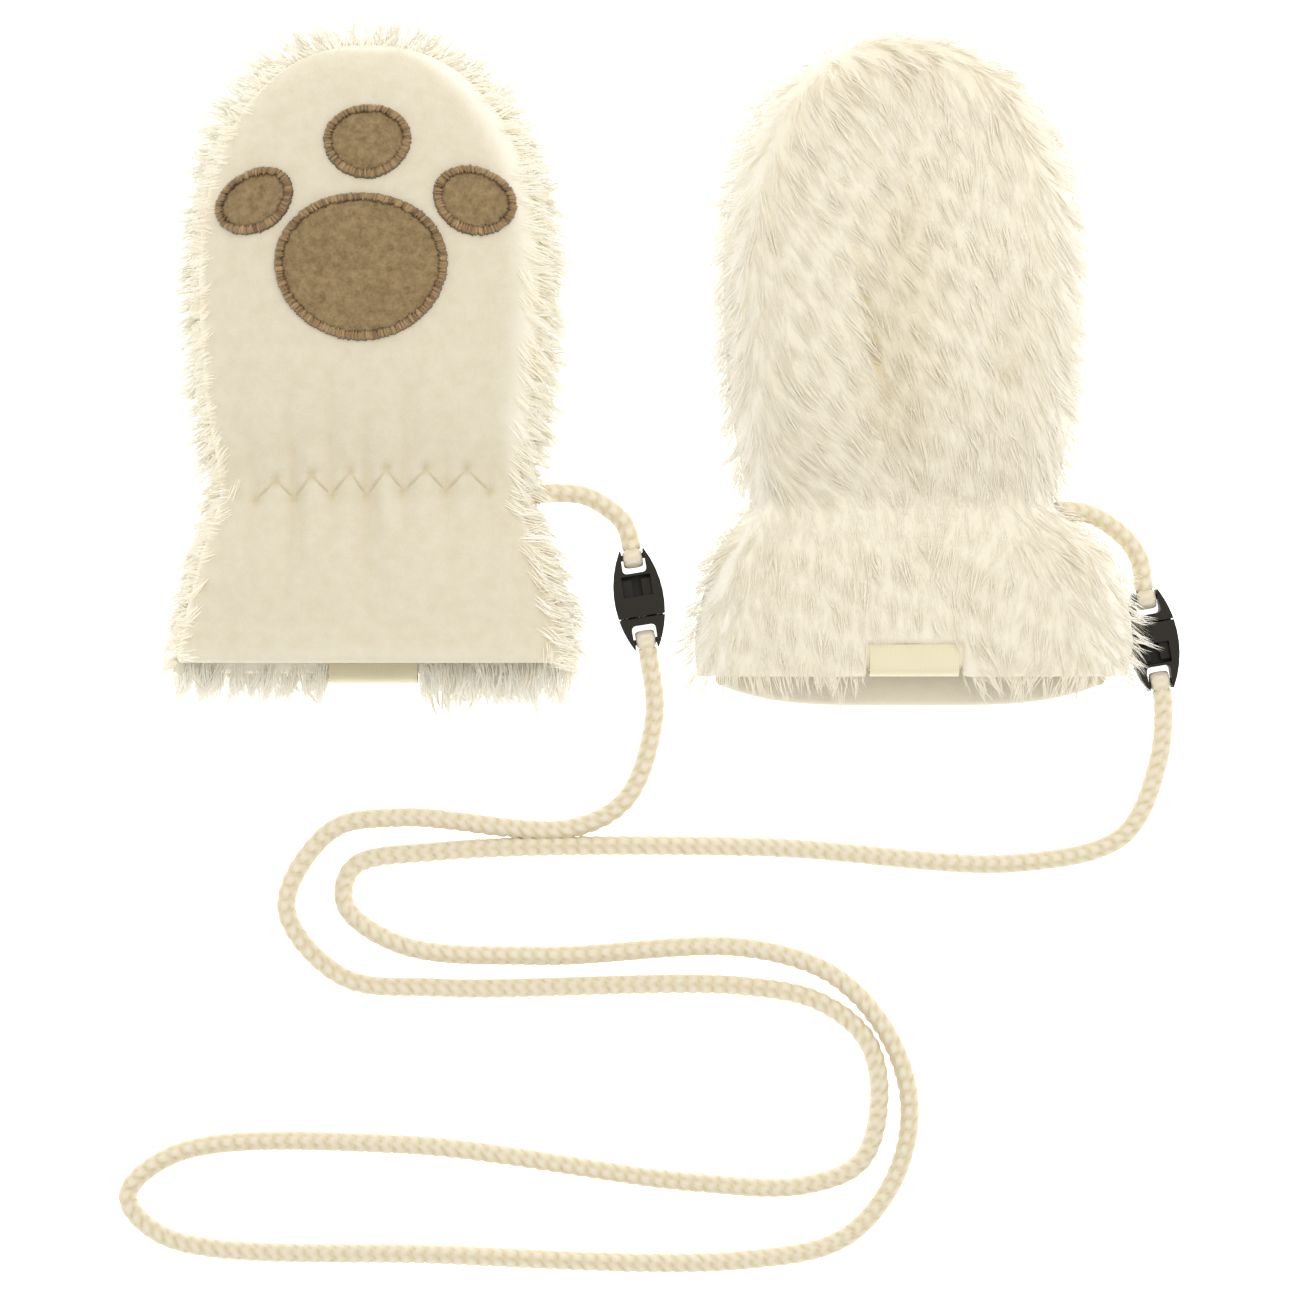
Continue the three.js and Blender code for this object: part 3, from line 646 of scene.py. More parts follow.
@dataclass(frozen=True)
class Form:
    """Outline and heights of one mitten."""

    centre_x: float
    seam_z: float
    palm_hem_y: float
    plush_hem_y: float
    rows: tuple[Row, ...]

    def column(self, name: str, y: Array) -> Array:
        """One column of the rows at y.

        The value follows a cubic through the rows: each row's slope is that of the line through
        its two neighbours.

        Args:
            name: the column.
            y: where it is wanted, in millimetres.

        Returns:
            The values, in the shape of y.
        """
        at = np.array([row.y for row in self.rows])
        value = np.array([getattr(row, name) for row in self.rows])
        before = np.maximum(np.arange(len(at)) - 1, 0)
        after = np.minimum(np.arange(len(at)) + 1, len(at) - 1)
        slope = (value[after] - value[before]) / (at[after] - at[before])
        k = np.clip(np.searchsorted(-at, -y, side="left"), 1, len(at) - 1)
        span = at[k] - at[k - 1]
        t = np.clip((y - at[k - 1]) / span, 0, 1)
        keep = (1 + 2 * t) * (1 - t) ** 2
        leave = t * (1 - t) ** 2 * span * slope[k - 1]
        arrive = t**2 * (t - 1) * span * slope[k]
        return keep * value[k - 1] + leave + (1 - keep) * value[k] + arrive

    def section(self, y: Array, tip_y: float) -> Section:
        """Sizes at y on an outline whose round tip ends at tip_y."""
        t = np.clip((y - SHOULDER_Y) / (tip_y - SHOULDER_Y), 0, 1)
        below = np.minimum(y, SHOULDER_Y)
        narrow = (1 - t**PLAN_POWER) ** (1 / PLAN_POWER)
        return Section(
            middle=self.centre_x + self.column("centre", below),
            palm=self.column("palm", below) * narrow,
            fur=self.column("fur", below) * narrow,
            crown=self.column("crown", below),
            narrow=narrow,
            rise=(1 - t**SECTION_POWER) ** (1 / SECTION_POWER),
        )


@dataclass(frozen=True)
class Stations:
    """Rows of points from a mitten's tip to its hem, where the wall rounds over its own edge."""

    hem_y: float
    tip_rows: int
    body_rows: int
    round_rows: int = 4
    edge: float = 1.0

    def at(self, tip_y: float) -> Array:
        """The y of each row on an outline that ends at tip_y, as one column."""
        turn = np.linspace(0, math.pi / 2, self.tip_rows, endpoint=False)
        tip = SHOULDER_Y + (tip_y - SHOULDER_Y) * np.cos(turn) ** (2 / PLAN_POWER)
        body = np.linspace(SHOULDER_Y, self.hem_y + self.edge, self.body_rows)
        bend = np.linspace(0, math.pi / 2, self.round_rows + 1)[1:]
        hem = self.hem_y + self.edge * (1 - np.sin(bend))
        return np.concatenate([tip, body, hem])[:, None]

    def squeeze(self) -> Array:
        """Share of its thickness that the wall has at each row, 0 where it rounds shut."""
        bend = np.linspace(0, math.pi / 2, self.round_rows + 1)[1:]
        return np.concatenate([np.ones(self.tip_rows + self.body_rows), np.cos(bend)])[:, None]


def reaches(count: int, even: float = 0.5) -> Array:
    """Shares of the half-width from -1 to 1, closer together towards both edges."""
    t = np.linspace(-1, 1, count)
    return (even * t + (1 - even) * np.sin(t * math.pi / 2))[None, :]


def stack(x: Array, y: Array, z: Array) -> Array:
    """One grid of points from grids or lines of their coordinates."""
    return np.stack(np.broadcast_arrays(x, y, z), axis=-1)


def make_wall(
    name: str,
    outer: Array,
    inner: Array,
    squeeze: Array,
    finish: bpy.types.Material,
    pale: tuple[Array, Array],
    painted_shade: tuple[Array, Array] | None = None,
) -> bpy.types.Object:
    """A closed cloth wall between an outer and an inner surface with the same number of points.

    Each point stands at the middle of the wall plus the squeezed half of its thickness, so the
    wall rounds shut at its hem.

    Args:
        name: name of the piece.
        outer: grid of the outer surface, from tip to hem.
        inner: grid of the inner surface.
        squeeze: share of the thickness at each row.
        finish: the material.
        pale: painted light, how pale the nap is at each point of the outer and of the inner surface.
        painted_shade: painted shade, how much darker its colour is painted there.

    Returns:
        The piece.
    """
    middle = (outer + inner) / 2
    shut = squeeze[..., None]
    faces_out = middle + (outer - middle) * shut
    faces_in = middle + (inner - middle) * shut
    points = np.concatenate([faces_out, faces_in[:, ::-1]], axis=1)
    values = {"pale": np.concatenate([pale[0], pale[1][:, ::-1]], axis=1)}
    if painted_shade is not None:
        values["painted_shade"] = np.concatenate([painted_shade[0], painted_shade[1][:, ::-1]], axis=1)
    rows, columns = points.shape[:2]
    quads = grid_faces(rows, columns, around=True)
    return weld(make_piece(name, points.reshape(-1, 3), [quads], finish, values))


# Fur


@dataclass(frozen=True)
class Roots:
    """Where locks of pile start: points, outward normals, and the row and column of the grid."""

    point: Array
    normal: Array
    row: NDArray[np.int64]
    column: NDArray[np.int64]


def scatter(grid: Array, count: int, density: Array | None = None) -> Roots:
    """Spreads points evenly over a surface.

    The plastic-number sequence fills the unit square evenly. Its first number picks a row by the
    area up to it, and its second a place along that row in the same way.

    Args:
        grid: the surface's points, in rows.
        count: number of points.
        density: share of the full density on each face of the grid.

    Returns:
        The points with the surface's normals, which point away from its middle.
    """
    along = grid[:, 1:] - grid[:, :-1]
    down = grid[1:] - grid[:-1]
    cross = np.cross((along[1:] + along[:-1]) / 2, (down[:, 1:] + down[:, :-1]) / 2)
    share = np.linalg.norm(cross, axis=-1)
    if density is not None:
        share = share * density
    plastic = 1.32471795724474602596
    k = np.arange(1, count + 1)
    first, second = (0.5 + k / plastic) % 1, (0.5 + k / plastic**2) % 1
    by_row = share.sum(axis=1)
    to_row = np.concatenate([[0], np.cumsum(by_row)]) / by_row.sum()
    place = np.interp(first, to_row, np.arange(len(to_row)))
    row = np.minimum(place.astype(int), len(by_row) - 1)
    to_cell = np.cumsum(share, axis=1) / np.maximum(by_row[:, None], 1e-12)
    flat = (to_cell + np.arange(len(by_row))[:, None]).ravel()
    cell = np.searchsorted(flat, row + second) - row * share.shape[1]
    cell = np.clip(cell, 0, share.shape[1] - 1)
    start = np.where(cell > 0, to_cell[row, np.maximum(cell - 1, 0)], 0)
    width = np.maximum(to_cell[row, cell] - start, 1e-12)
    u = np.clip((second - start) / width, 0, 1)[:, None]
    v = np.clip(place - row, 0, 1)[:, None]
    top = grid[row, cell] * (1 - u) + grid[row, cell + 1] * u
    bottom = grid[row + 1, cell] * (1 - u) + grid[row + 1, cell + 1] * u
    normal = unit(cross[row, cell])
    point = top * (1 - v) + bottom * v
    outward = np.einsum("ij,ij->", normal, point - grid.reshape(-1, 3).mean(axis=0))
    return Roots(point, normal if outward > 0 else -normal, row, cell)


@dataclass(frozen=True)
class Growth:
    """How one zone of pile grows, in millimetres and degrees.

    lift_root and lift_tip are a fibre's angles over the cloth at its two ends, and edge_lift is
    what they gain where the cloth turns away to the side. clump is how far a lock's fibres draw
    together towards its tip, mound how far its middle stands over its sides, and wander how far
    its way varies.
    """

    length: float
    per_lock: int
    lock: float
    clump: float = 0.6
    lift_root: float = 30.0
    lift_tip: float = 0.0
    edge_lift: float = 26.0
    wander: float = 13.0
    curl: float = 0.3
    fibre: float = 0.44
    mound: float = 0.45
    floor: float = 0.15
    pale: float = 0.2


@dataclass(frozen=True)
class Fibres:
    """Middle lines of fibres, the cloth's normal under each, and how pale each one is."""

    lines: Array
    normal: Array
    pale: Array

    def where(self, keep: NDArray[Any]) -> "Fibres":
        """The fibres that a mask or a list of numbers keeps."""
        return Fibres(self.lines[keep], self.normal[keep], self.pale[keep])


STRAND_STEPS = 3
STRAND_TAPER = (0.7, 1.0, 0.72)
KEEL = 0.5


def grow(
    roots: Roots,
    flow: Array,
    scale: Array,
    edge: Array,
    growth: Growth,
    rng: np.random.Generator,
) -> Fibres:
    """Grows locks of fibres on roots.

    A fibre starts near its lock's root, leaves the cloth at the root angle and lays itself over
    towards the flow, so its height is the sum of sin(angle) along it and its travel the sum of
    cos(angle). Its offset from the lock's own line shrinks towards the tip, and a sine gives it
    its crimp.

    Args:
        roots: the locks' roots.
        flow: the way that each lock lies, before it is turned into the cloth's plane.
        scale: share of the full length at each lock.
        edge: how far the cloth has turned away to the side at each lock, from 0 to 1.
        growth: the zone's sizes.
        rng: the random numbers.

    Returns:
        The fibres.
    """
    locks, each = len(roots.point), growth.per_lock
    normal = roots.normal
    lie = unit(flow - np.einsum("ij,ij->i", flow, normal)[:, None] * normal)
    turn = np.radians(rng.normal(0, growth.wander, locks))[:, None]
    lie = lie * np.cos(turn) + np.cross(normal, lie) * np.sin(turn)
    side = np.cross(normal, lie)
    out = np.sqrt(rng.random((locks, each, 1)))
    angle = 2 * math.pi * rng.random((locks, each, 1))
    offset = growth.lock * out * (np.cos(angle) * lie[:, None] + np.sin(angle) * side[:, None])
    length = growth.length * scale * (1 + rng.normal(0, 0.12, locks))
    length = length[:, None] * (1 + rng.uniform(-0.22, 0.12, (locks, each)))
    tilt = rng.normal(0, 5, (locks, 1)) + rng.normal(0, 4, (locks, each))
    tilt = tilt + growth.edge_lift * edge[:, None]
    share = np.linspace(0, 1, STRAND_STEPS + 1)
    middle = (share[1:] + share[:-1]) / 2
    lift = growth.lift_root + (growth.lift_tip - growth.lift_root) * middle
    lift = np.radians(lift[None, None, :] + tilt[..., None])
    step = (length / STRAND_STEPS)[..., None]
    start = np.zeros((locks, each, 1))
    height = np.concatenate([start, np.cumsum(np.sin(lift) * step, axis=-1)], axis=-1)
    height = height + growth.mound * (1 - out**2)
    travel = np.concatenate([start, np.cumsum(np.cos(lift) * step, axis=-1)], axis=-1)
    gather = 1 - growth.clump * share**1.2
    phase = 2 * math.pi * rng.random((locks, 1, 1)) + rng.normal(0, 0.5, (locks, each, 1))
    sway = growth.curl * np.sin(5 * share + phase) * share
    lines = (
        roots.point[:, None, None]
        + offset[:, :, None] * gather[None, None, :, None]
        + height[..., None] * normal[:, None, None]
        + travel[..., None] * lie[:, None, None]
        + sway[..., None] * side[:, None, None]
    )
    lines[..., 2] = np.maximum(lines[..., 2], growth.floor)
    pale = rng.normal(growth.pale, 0.12, (locks, 1)) + rng.normal(0, 0.06, (locks, each))
    return Fibres(
        lines.reshape(-1, STRAND_STEPS + 1, 3),
        np.repeat(normal, each, axis=0),
        np.clip(pale, 0, 1).ravel(),
    )


@dataclass(frozen=True)
class Locks:
    """Locks that lie on the cloth: their roots, the way and side of each, and its sizes."""

    roots: Roots
    lie: Array
    side: Array
    length: Array
    wide: Array
    rise: Array


@dataclass(frozen=True)
class Comb:
    """How locks lie on the cloth and one another like shingles, in millimetres.

    wide is half a lock's width, rise its height at its middle, free how far a fibre's tip stands off
    it, and lift how steeply it leaves the cloth, as a slope, where the cloth turns to the side.
    """

    length: float
    wide: float
    rise: float
    per_lock: int
    free: float = 0.35
    lift: float = 0.5
    wander: float = 9.0
    fibre: float = 0.2
    hug: float = 60.0
    jitter: float = 1.1

    def lay(self, roots: Roots, flow: Array, scale: Array, rng: np.random.Generator) -> Locks:
        """Lays a lock on each root along the flow."""
        normal = roots.normal
        lie = unit(flow - np.einsum("ij,ij->i", flow, normal)[:, None] * normal)
        turn = np.radians(rng.normal(0, self.wander, len(lie)))[:, None]
        lie = lie * np.cos(turn) + np.cross(normal, lie) * np.sin(turn)
        side = np.cross(normal, lie)
        length = self.length * scale * np.clip(1 + rng.normal(0, 0.2, len(lie)), 0.6, 1.4)
        wide = self.wide * rng.uniform(0.7, 1.35, len(lie))
        rise = self.rise * rng.uniform(0.45, 1.0, len(lie))
        shift = rng.uniform(-self.jitter, self.jitter, (len(lie), 2))
        point = roots.point + shift[:, :1] * lie + shift[:, 1:] * side
        placed = Roots(point, normal, roots.row, roots.column)
        return Locks(placed, lie, side, length, wide, rise)

    def height(self, locks: Locks, along: Array, across: Array) -> Array:
        """Height of each lock: a long leaf, round across and pointed at both ends.

        Args:
            locks: the locks, which are the first axis of the other two.
            along: share of the lock's length.
            across: distance from its middle line.

        Returns:
            The height, 0 outside the lock.
        """
        share = np.clip(along, 0, 1)
        wide, rise = locks.wide[:, None, None], locks.rise[:, None, None]
        leaf = 4 * share * (1 - share)
        inside = np.clip(1 - (across / np.maximum(wide * leaf**0.5, 1e-3)) ** 2, 0, None)
        return rise * leaf**0.6 * inside**0.8

    def relief(self, grid: Array, locks: Locks, window: tuple[int, int]) -> Array:
        """The highest lock at each point of a surface, looked for within a window of each root."""
        rows, columns = grid.shape[:2]
        row = locks.roots.row[:, None, None] + np.arange(-window[0], window[0] + 1)[None, :, None]
        col = locks.roots.column[:, None, None] + np.arange(-window[1], window[1] + 1)
        row, col = np.clip(row, 0, rows - 1), np.clip(col, 0, columns - 1)
        row, col = np.broadcast_arrays(row, col)
        away = grid[row, col] - locks.roots.point[:, None, None]
        along = np.einsum("kijc,kc->kij", away, locks.lie) / locks.length[:, None, None]
        across = np.einsum("kijc,kc->kij", away, locks.side)
        highest = np.zeros((rows, columns))
        np.maximum.at(highest, (row, col), self.height(locks, along, across))
        return highest

    def fibres(self, locks: Locks, edge: Array, pale: Array, rng: np.random.Generator) -> Fibres:
        """Fibres that lie along the locks.

        A fibre follows its lock's own height and a little of the cloth's curve, and its free tip
        rises with the square of the way along it.
        """
        count, each = len(locks.length), self.per_lock
        share = np.linspace(0, 1, STRAND_STEPS + 1)
        length = locks.length[:, None, None]
        start = rng.uniform(-0.12, 0.4, (count, each, 1)) * length
        run = rng.uniform(0.45, 0.72, (count, each, 1)) * length
        along = start + run * share
        offset = locks.wide[:, None, None] * rng.uniform(-1, 1, (count, each, 1))
        sway = 0.3 * np.sin(5 * share + 2 * math.pi * rng.random((count, each, 1))) * share
        across = offset * (1 - 0.65 * share) + sway
        free = self.free * rng.uniform(0.15, 1, (count, each, 1)) * share**2
        fly = self.lift * rng.uniform(0.3, 1.2, (count, each, 1)) * edge[:, None, None]
        height = self.height(locks, along / length, across) + free + fly * run * share
        height = height - along**2 / (2 * self.hug) * (1 - edge[:, None, None])
        lines = (
            locks.roots.point[:, None, None]
            + along[..., None] * locks.lie[:, None, None]
            + across[..., None] * locks.side[:, None, None]
            + (height + 0.05)[..., None] * locks.roots.normal[:, None, None]
        )
        lines[..., 2] = np.maximum(lines[..., 2], 0.15)
        light = pale[:, None] + rng.normal(0.02, 0.04, (count, 1))
        light = light + rng.normal(0, 0.05, (count, each))
        return Fibres(
            lines.reshape(-1, STRAND_STEPS + 1, 3),
            np.repeat(locks.roots.normal, each, axis=0),
            np.clip(light, -1, 1).ravel(),
        )


def make_fur(
    name: str, fibres: Fibres, width: float, finish: bpy.types.Material, root: float = 0.0
) -> bpy.types.Object:
    """One piece of closed, tapered fibres, each flat on top with a low keel below.

    Args:
        name: name of the piece.
        fibres: the fibres.
        width: width of a fibre at its middle.
        finish: the material.
        root: where on the finish's way from root to tip the fibres start.

    Returns:
        The piece.
    """
    lines, count = fibres.lines, len(fibres.lines)
    way = unit(np.gradient(lines, axis=1))
    side = unit(np.cross(way, fibres.normal[:, None]))
    under = np.cross(way, side)
    taper = np.array(STRAND_TAPER)[None, :, None] * width / 2
    body, side, under = lines[:, :3], side[:, :3] * taper, under[:, :3] * taper * KEEL
    rings = np.stack([body - side, body + side, body + under], axis=2)
    points = np.concatenate([rings.reshape(count, 9, 3), lines[:, 3:]], axis=1)
    first = np.arange(count)[:, None, None] * 10
    quads = [
        [ring * 3 + k, ring * 3 + (k + 1) % 3, ring * 3 + 3 + (k + 1) % 3, ring * 3 + 3 + k]
        for ring in range(2)
        for k in range(3)
    ]
    ends = [[6 + k, 6 + (k + 1) % 3, 9] for k in range(3)] + [[0, 2, 1]]
    faces = [
        (first + np.array(quads)[None]).reshape(-1, 4),
        (first + np.array(ends)[None]).reshape(-1, 3),
    ]
    along = np.tile(np.repeat(np.linspace(root, 1, 4), [3, 3, 3, 1]), count)
    values = {"along": along, "pale": np.repeat(fibres.pale, 10)}
    return make_piece(name, points.reshape(-1, 3), faces, finish, values, crisp=0)


def lay_over(lines: Array, surface: Array, cell: float = 0.5, reach: float = 1.6) -> Array:
    """Lines whose points under a surface, seen from above, are lifted to just over it.

    Args:
        lines: the lines' points.
        surface: grid of the surface's points.
        cell: width of the squares in which the surface's height is looked up.
        reach: how far under the surface a point may lie and still be lifted.

    Returns:
        The lines.
    """
    low = surface[..., :2].min(axis=(0, 1)) - cell
    steps = ((surface[..., :2] - low) / cell).astype(int)
    size = steps.max(axis=(0, 1)) + 2
    top = np.full(size, -1e3)
    np.maximum.at(top, (steps[..., 0], steps[..., 1]), surface[..., 2])
    at = np.clip(((lines[..., :2] - low) / cell).astype(int), 0, size - 1)
    height = top[at[..., 0], at[..., 1]] + 0.1
    under = (height > lines[..., 2]) & (height < lines[..., 2] + reach)
    lifted = lines.copy()
    lifted[..., 2] = np.where(under, height, lines[..., 2])
    return lifted


def turned_away(normal: Array, low: float = 0.45, high: float = 0.9) -> Array:
    """How far cloth has turned to the side, from 0 where it faces up or down to 1."""
    return smoothstep(np.hypot(normal[:, 0], normal[:, 1]), low, high)


def combed_out(flow: Array, normal: Array, edge: Array) -> Array:
    """The way that pile lies, turned outwards by edge where the cloth turns to the side."""
    out = unit(normal * np.array([1.0, 1.0, 0.0]))
    return flow * (1 - 0.75 * edge[:, None]) + out * edge[:, None]


@dataclass(frozen=True)
class Box:
    """A space that fur leaves free, such as the parting over a label."""

    low: tuple[float, float, float]
    high: tuple[float, float, float]

    def holds(self, points: Array) -> NDArray[np.bool_]:
        """Whether each point lies inside."""
        return np.all((points > np.array(self.low)) & (points < np.array(self.high)), axis=-1)


# Cord


def smooth_curve(points: Array, per_span: int) -> Array:
    """A centripetal Catmull-Rom curve through points, the curve that the cord's solids follow.

    The time between two points is the square root of their distance. Each tangent weighs the
    chords on both sides by these times, and a cubic joins each two points.

    Args:
        points: the points of the route.
        per_span: number of points to give for each span.

    Returns:
        Points along the curve.
    """
    ends = [2 * points[0] - points[1], 2 * points[-1] - points[-2]]
    p = np.vstack([ends[0], points, ends[1]])
    time = np.sqrt(np.linalg.norm(np.diff(p, axis=0), axis=1))[:, None]
    before, here, after = time[:-2], time[1:-1], time[2:]
    p0, p1, p2, p3 = p[:-3], p[1:-2], p[2:-1], p[3:]
    leave = (p1 - p0) / before - (p2 - p0) / (before + here) + (p2 - p1) / here
    arrive = (p2 - p1) / here - (p3 - p1) / (here + after) + (p3 - p2) / after
    leave, arrive = leave * here, arrive * here
    t = np.linspace(0, 1, per_span, endpoint=False)[None, :, None]
    a, b, c, d = (v[:, None] for v in (p1, p2, leave, arrive))
    curve = a + c * t + (3 * (b - a) - 2 * c - d) * t**2 + (2 * (a - b) + c + d) * t**3
    return np.vstack([curve.reshape(-1, 3), points[-1:]])


def even_steps(line: Array, step: float) -> Array:
    """The line again, with points that are one even step apart."""
    length = np.concatenate([[0], np.cumsum(np.linalg.norm(np.diff(line, axis=0), axis=1))])
    at = np.linspace(0, length[-1], max(2, round(length[-1] / step) + 1))
    return np.stack([np.interp(at, length, line[:, k]) for k in range(3)], axis=1)


@dataclass(frozen=True)
class KnittedCord:
    """A narrow knitted tube: columns of V-shaped stitches round a soft core."""

    radius: float = 2.0
    sides: int = 16
    step: float = 0.62
    columns: int = 5
    stitch: float = 2.9
    slope: float = 0.52
    crest: float = 0.24
    depth: float = 0.44

    def build(self, name: str, route: Array, finish: bpy.types.Material) -> tuple[Any, Array]:
        """Makes the cord along a route.

        Stitches stand out by crest and the hollows between them lie depth lower. A stitch is a V:
        its phase grows with the way along the cord and with the distance from the middle of its
        column. The soft cord is pressed flat where it lies on the floor.

        Args:
            name: name of the piece.
            route: points of the route.
            finish: the material.

        Returns:
            The piece and the points that it follows.
        """
        line = even_steps(smooth_curve(route, 24), self.step)
        way = unit(np.gradient(line, axis=0))
        up = np.array([0.0, 0.0, 1.0])
        side = unit(np.cross(way, up))
        top = np.cross(side, way)
        angle = 2 * math.pi * np.arange(self.sides)[None, :] / self.sides
        along = (np.arange(len(line)) * self.step)[:, None]
        twist = 0.004 * along
        column = (self.columns * (angle + twist) / (2 * math.pi)) % 1
        from_middle = np.abs(2 * column - 1)
        phase = (along / self.stitch + self.slope * from_middle) % 1
        stitch = np.sin(math.pi * phase) ** 0.7 * (1 - 0.55 * from_middle**3)
        radius = self.radius + self.crest - self.depth * (1 - stitch)
        ends = np.minimum(along, along[::-1]) / (0.6 * self.radius)
        radius = radius * np.sqrt(np.clip(1 - np.clip(1 - ends, 0, 1) ** 2, 0, 1))
        ring = np.cos(angle)[..., None] * side[:, None] + np.sin(angle)[..., None] * top[:, None]
        points = line[:, None] + radius[..., None] * ring
        points[..., 2] = np.maximum(points[..., 2], 0.03)
        quads = grid_faces(len(line), self.sides, around=True)
        # Painted shade where the cord sinks between stitches.
        values = {"painted_hollow_shade": 1 - stitch}
        piece = make_piece(name, points.reshape(-1, 3), [quads], finish, values, crisp=180)
        return weld(piece), line


# Clasps


@dataclass(frozen=True)
class Clasp:
    """Place of one fastened snap clasp and the sizes of the bar that the cord loops round."""

    name: str
    x: float
    y: float
    turn: float
    thick: float = 4.6
    half_length: float = 11.0
    half_width: float = 5.5
    bar_y: float = 9.4
    cord_end: float = 10.3
    cord_straight: float = 13.9

    def at(self, y: float, z: float | None = None) -> tuple[float, float, float]:
        """A point of the clasp's middle line, y from its middle."""
        turn = math.radians(self.turn)
        height = self.thick / 2 if z is None else z
        return (self.x - y * math.sin(turn), self.y + y * math.cos(turn), height)

    def place(self, local: Array) -> Array:
        """Points of the clasp's own frame, moved to where it lies."""
        turn = math.radians(self.turn)
        c, s = math.cos(turn), math.sin(turn)
        x = self.x + local[..., 0] * c - local[..., 1] * s
        y = self.y + local[..., 0] * s + local[..., 1] * c
        return np.stack([x, y, local[..., 2]], axis=-1)

    def build(self, finish: bpy.types.Material) -> list[bpy.types.Object]:
        """Both halves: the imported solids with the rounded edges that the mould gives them."""
        pieces = []
        for half in ("socket", "prong"):
            node = f"clasp_{self.name}_{half}"
            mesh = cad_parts[node].data.copy()
            piece = bpy.data.objects.new(f"moulded_{self.name}_{half}", mesh)
            bpy.context.scene.collection.objects.link(piece)
            weld(piece)
            mesh.materials.clear()
            mesh.materials.append(finish)
            bevel = piece.modifiers.new("edges", "BEVEL")
            bevel.width = 0.3 * MM
            bevel.segments = 3
            bevel.limit_method = "ANGLE"
            bevel.angle_limit = math.radians(32)
            pieces.append(dress(piece, "clasp_plastic", node))
        pieces.append(self.shoulder(finish))
        return pieces

    def shoulder(self, finish: bpy.types.Material) -> bpy.types.Object:
        """The prong half's shoulder, which closes the joint between the halves."""
        x, y, z = 4.7, (-4.4, -3.88), (1.5, 3.1)
        corners = self.place(np.array([[i, j, k] for i in (-x, x) for j in y for k in z]))
        sides = [[0, 1, 3, 2], [4, 6, 7, 5], [0, 4, 5, 1], [2, 3, 7, 6], [0, 2, 6, 4], [1, 5, 7, 3]]
        piece = make_piece(f"shoulder_{self.name}", corners, [np.array(sides)], finish)
        return dress(piece, "clasp_plastic", f"clasp_{self.name}_prong")

    def loop(self, end: int, finish: bpy.types.Material) -> bpy.types.Object:
        """The cord's end round the bar: a flat rounded strap on an oval path.

        Args:
            end: 1 for the clasp's own upper end and -1 for its lower end.
            finish: the cord's material.

        Returns:
            The piece.
        """
        steps, sides = 40, 14
        wind = np.linspace(math.radians(-152), math.radians(152), steps)[:, None]
        round_section = 2 * math.pi * np.arange(sides)[None, :] / sides
        across = 2.15 * np.sign(np.cos(round_section)) * np.abs(np.cos(round_section)) ** 0.7
        thick = 0.78 * np.sin(round_section)
        ribs = 0.1 * np.cos(9 * wind) * np.cos(3.2 * across)
        reach_y = 1.72 + thick + ribs
        reach_z = 1.48 + thick + ribs
        y = self.bar_y - reach_y * np.cos(wind)
        z = self.thick / 2 + reach_z * np.sin(wind)
        shut = np.sqrt(np.clip(1 - (np.abs(wind) / wind[-1]) ** 12, 0, 1))
        local = stack(across * shut, end * y, z)
        points = self.place(local).reshape(-1, 3)
        quads = grid_faces(steps, sides, around=True)
        caps = [np.arange(sides)[None, ::-1], np.arange(sides)[None] + (steps - 1) * sides]
        faces = [quads, *caps]
        # Painted shade between the strap's ribs.
        painted_hollow_shade = 0.25 - 0.25 * np.broadcast_to(ribs / 0.1, (steps, sides))
        name = f"cord_loop_{self.name}_{'upper' if end > 0 else 'lower'}"
        return dress(make_piece(name, points, faces, finish, {"painted_hollow_shade": painted_hollow_shade}, 60), "cord")


LEFT_CLASP = Clasp("left", -2.4, -51.0, 9.1)
RIGHT_CLASP = Clasp("right", 111.0, -60.1, 189.6)
CORD_Z = 2.05
LEFT_CORD = (
    (-27.9, -28.4, 7.2),
    (-19.8, -27.7, 4.6),
    (-13.9, -28.4, 2.8),
    (-9.4, -30.9, CORD_Z),
    (-6.1, -33.8, CORD_Z),
)
RIGHT_CORD = (
    (88.4, -31.7, 6.0),
    (95.3, -31.9, 4.0),
    (99.4, -33.4, 2.8),
    (103.4, -36.1, CORD_Z),
    (106.5, -39.4, CORD_Z),
    (108.3, -43.0, CORD_Z),
)
LONG_CORD = (
    (0.9, -77.0),
    (-5.2, -95.0),
    (-17.6, -101.6),
    (-55.0, -99.2),
    (-70.4, -102.1),
    (-80.3, -119.0),
    (-68.2, -134.2),
    (-46.2, -136.8),
    (19.8, -136.4),
    (37.8, -140.1),
    (48.0, -148.7),
    (50.6, -161.3),
    (46.6, -175.1),
    (34.1, -180.4),
    (8.8, -179.7),
    (-55.0, -171.4),
    (-104.5, -173.4),
    (-115.3, -182.8),
    (-107.0, -191.8),
    (-46.2, -195.8),
    (19.8, -197.1),
    (42.9, -192.1),
    (53.9, -179.3),
    (57.4, -163.5),
    (53.0, -147.8),
    (40.7, -134.2),
    (20.9, -128.0),
    (-24.2, -129.8),
    (-55.0, -127.4),
    (-67.3, -118.6),
    (-65.6, -110.2),
    (-46.2, -106.7),
    (24.2, -105.8),
    (81.4, -109.3),
    (104.5, -103.2),
    (112.2, -87.1),
)


class CordStretch(Enum):
    """The three lengths of cord, each with its length along its route in millimetres."""

    LEFT = 31.8
    LONG = 1020.5
    RIGHT = 32.3


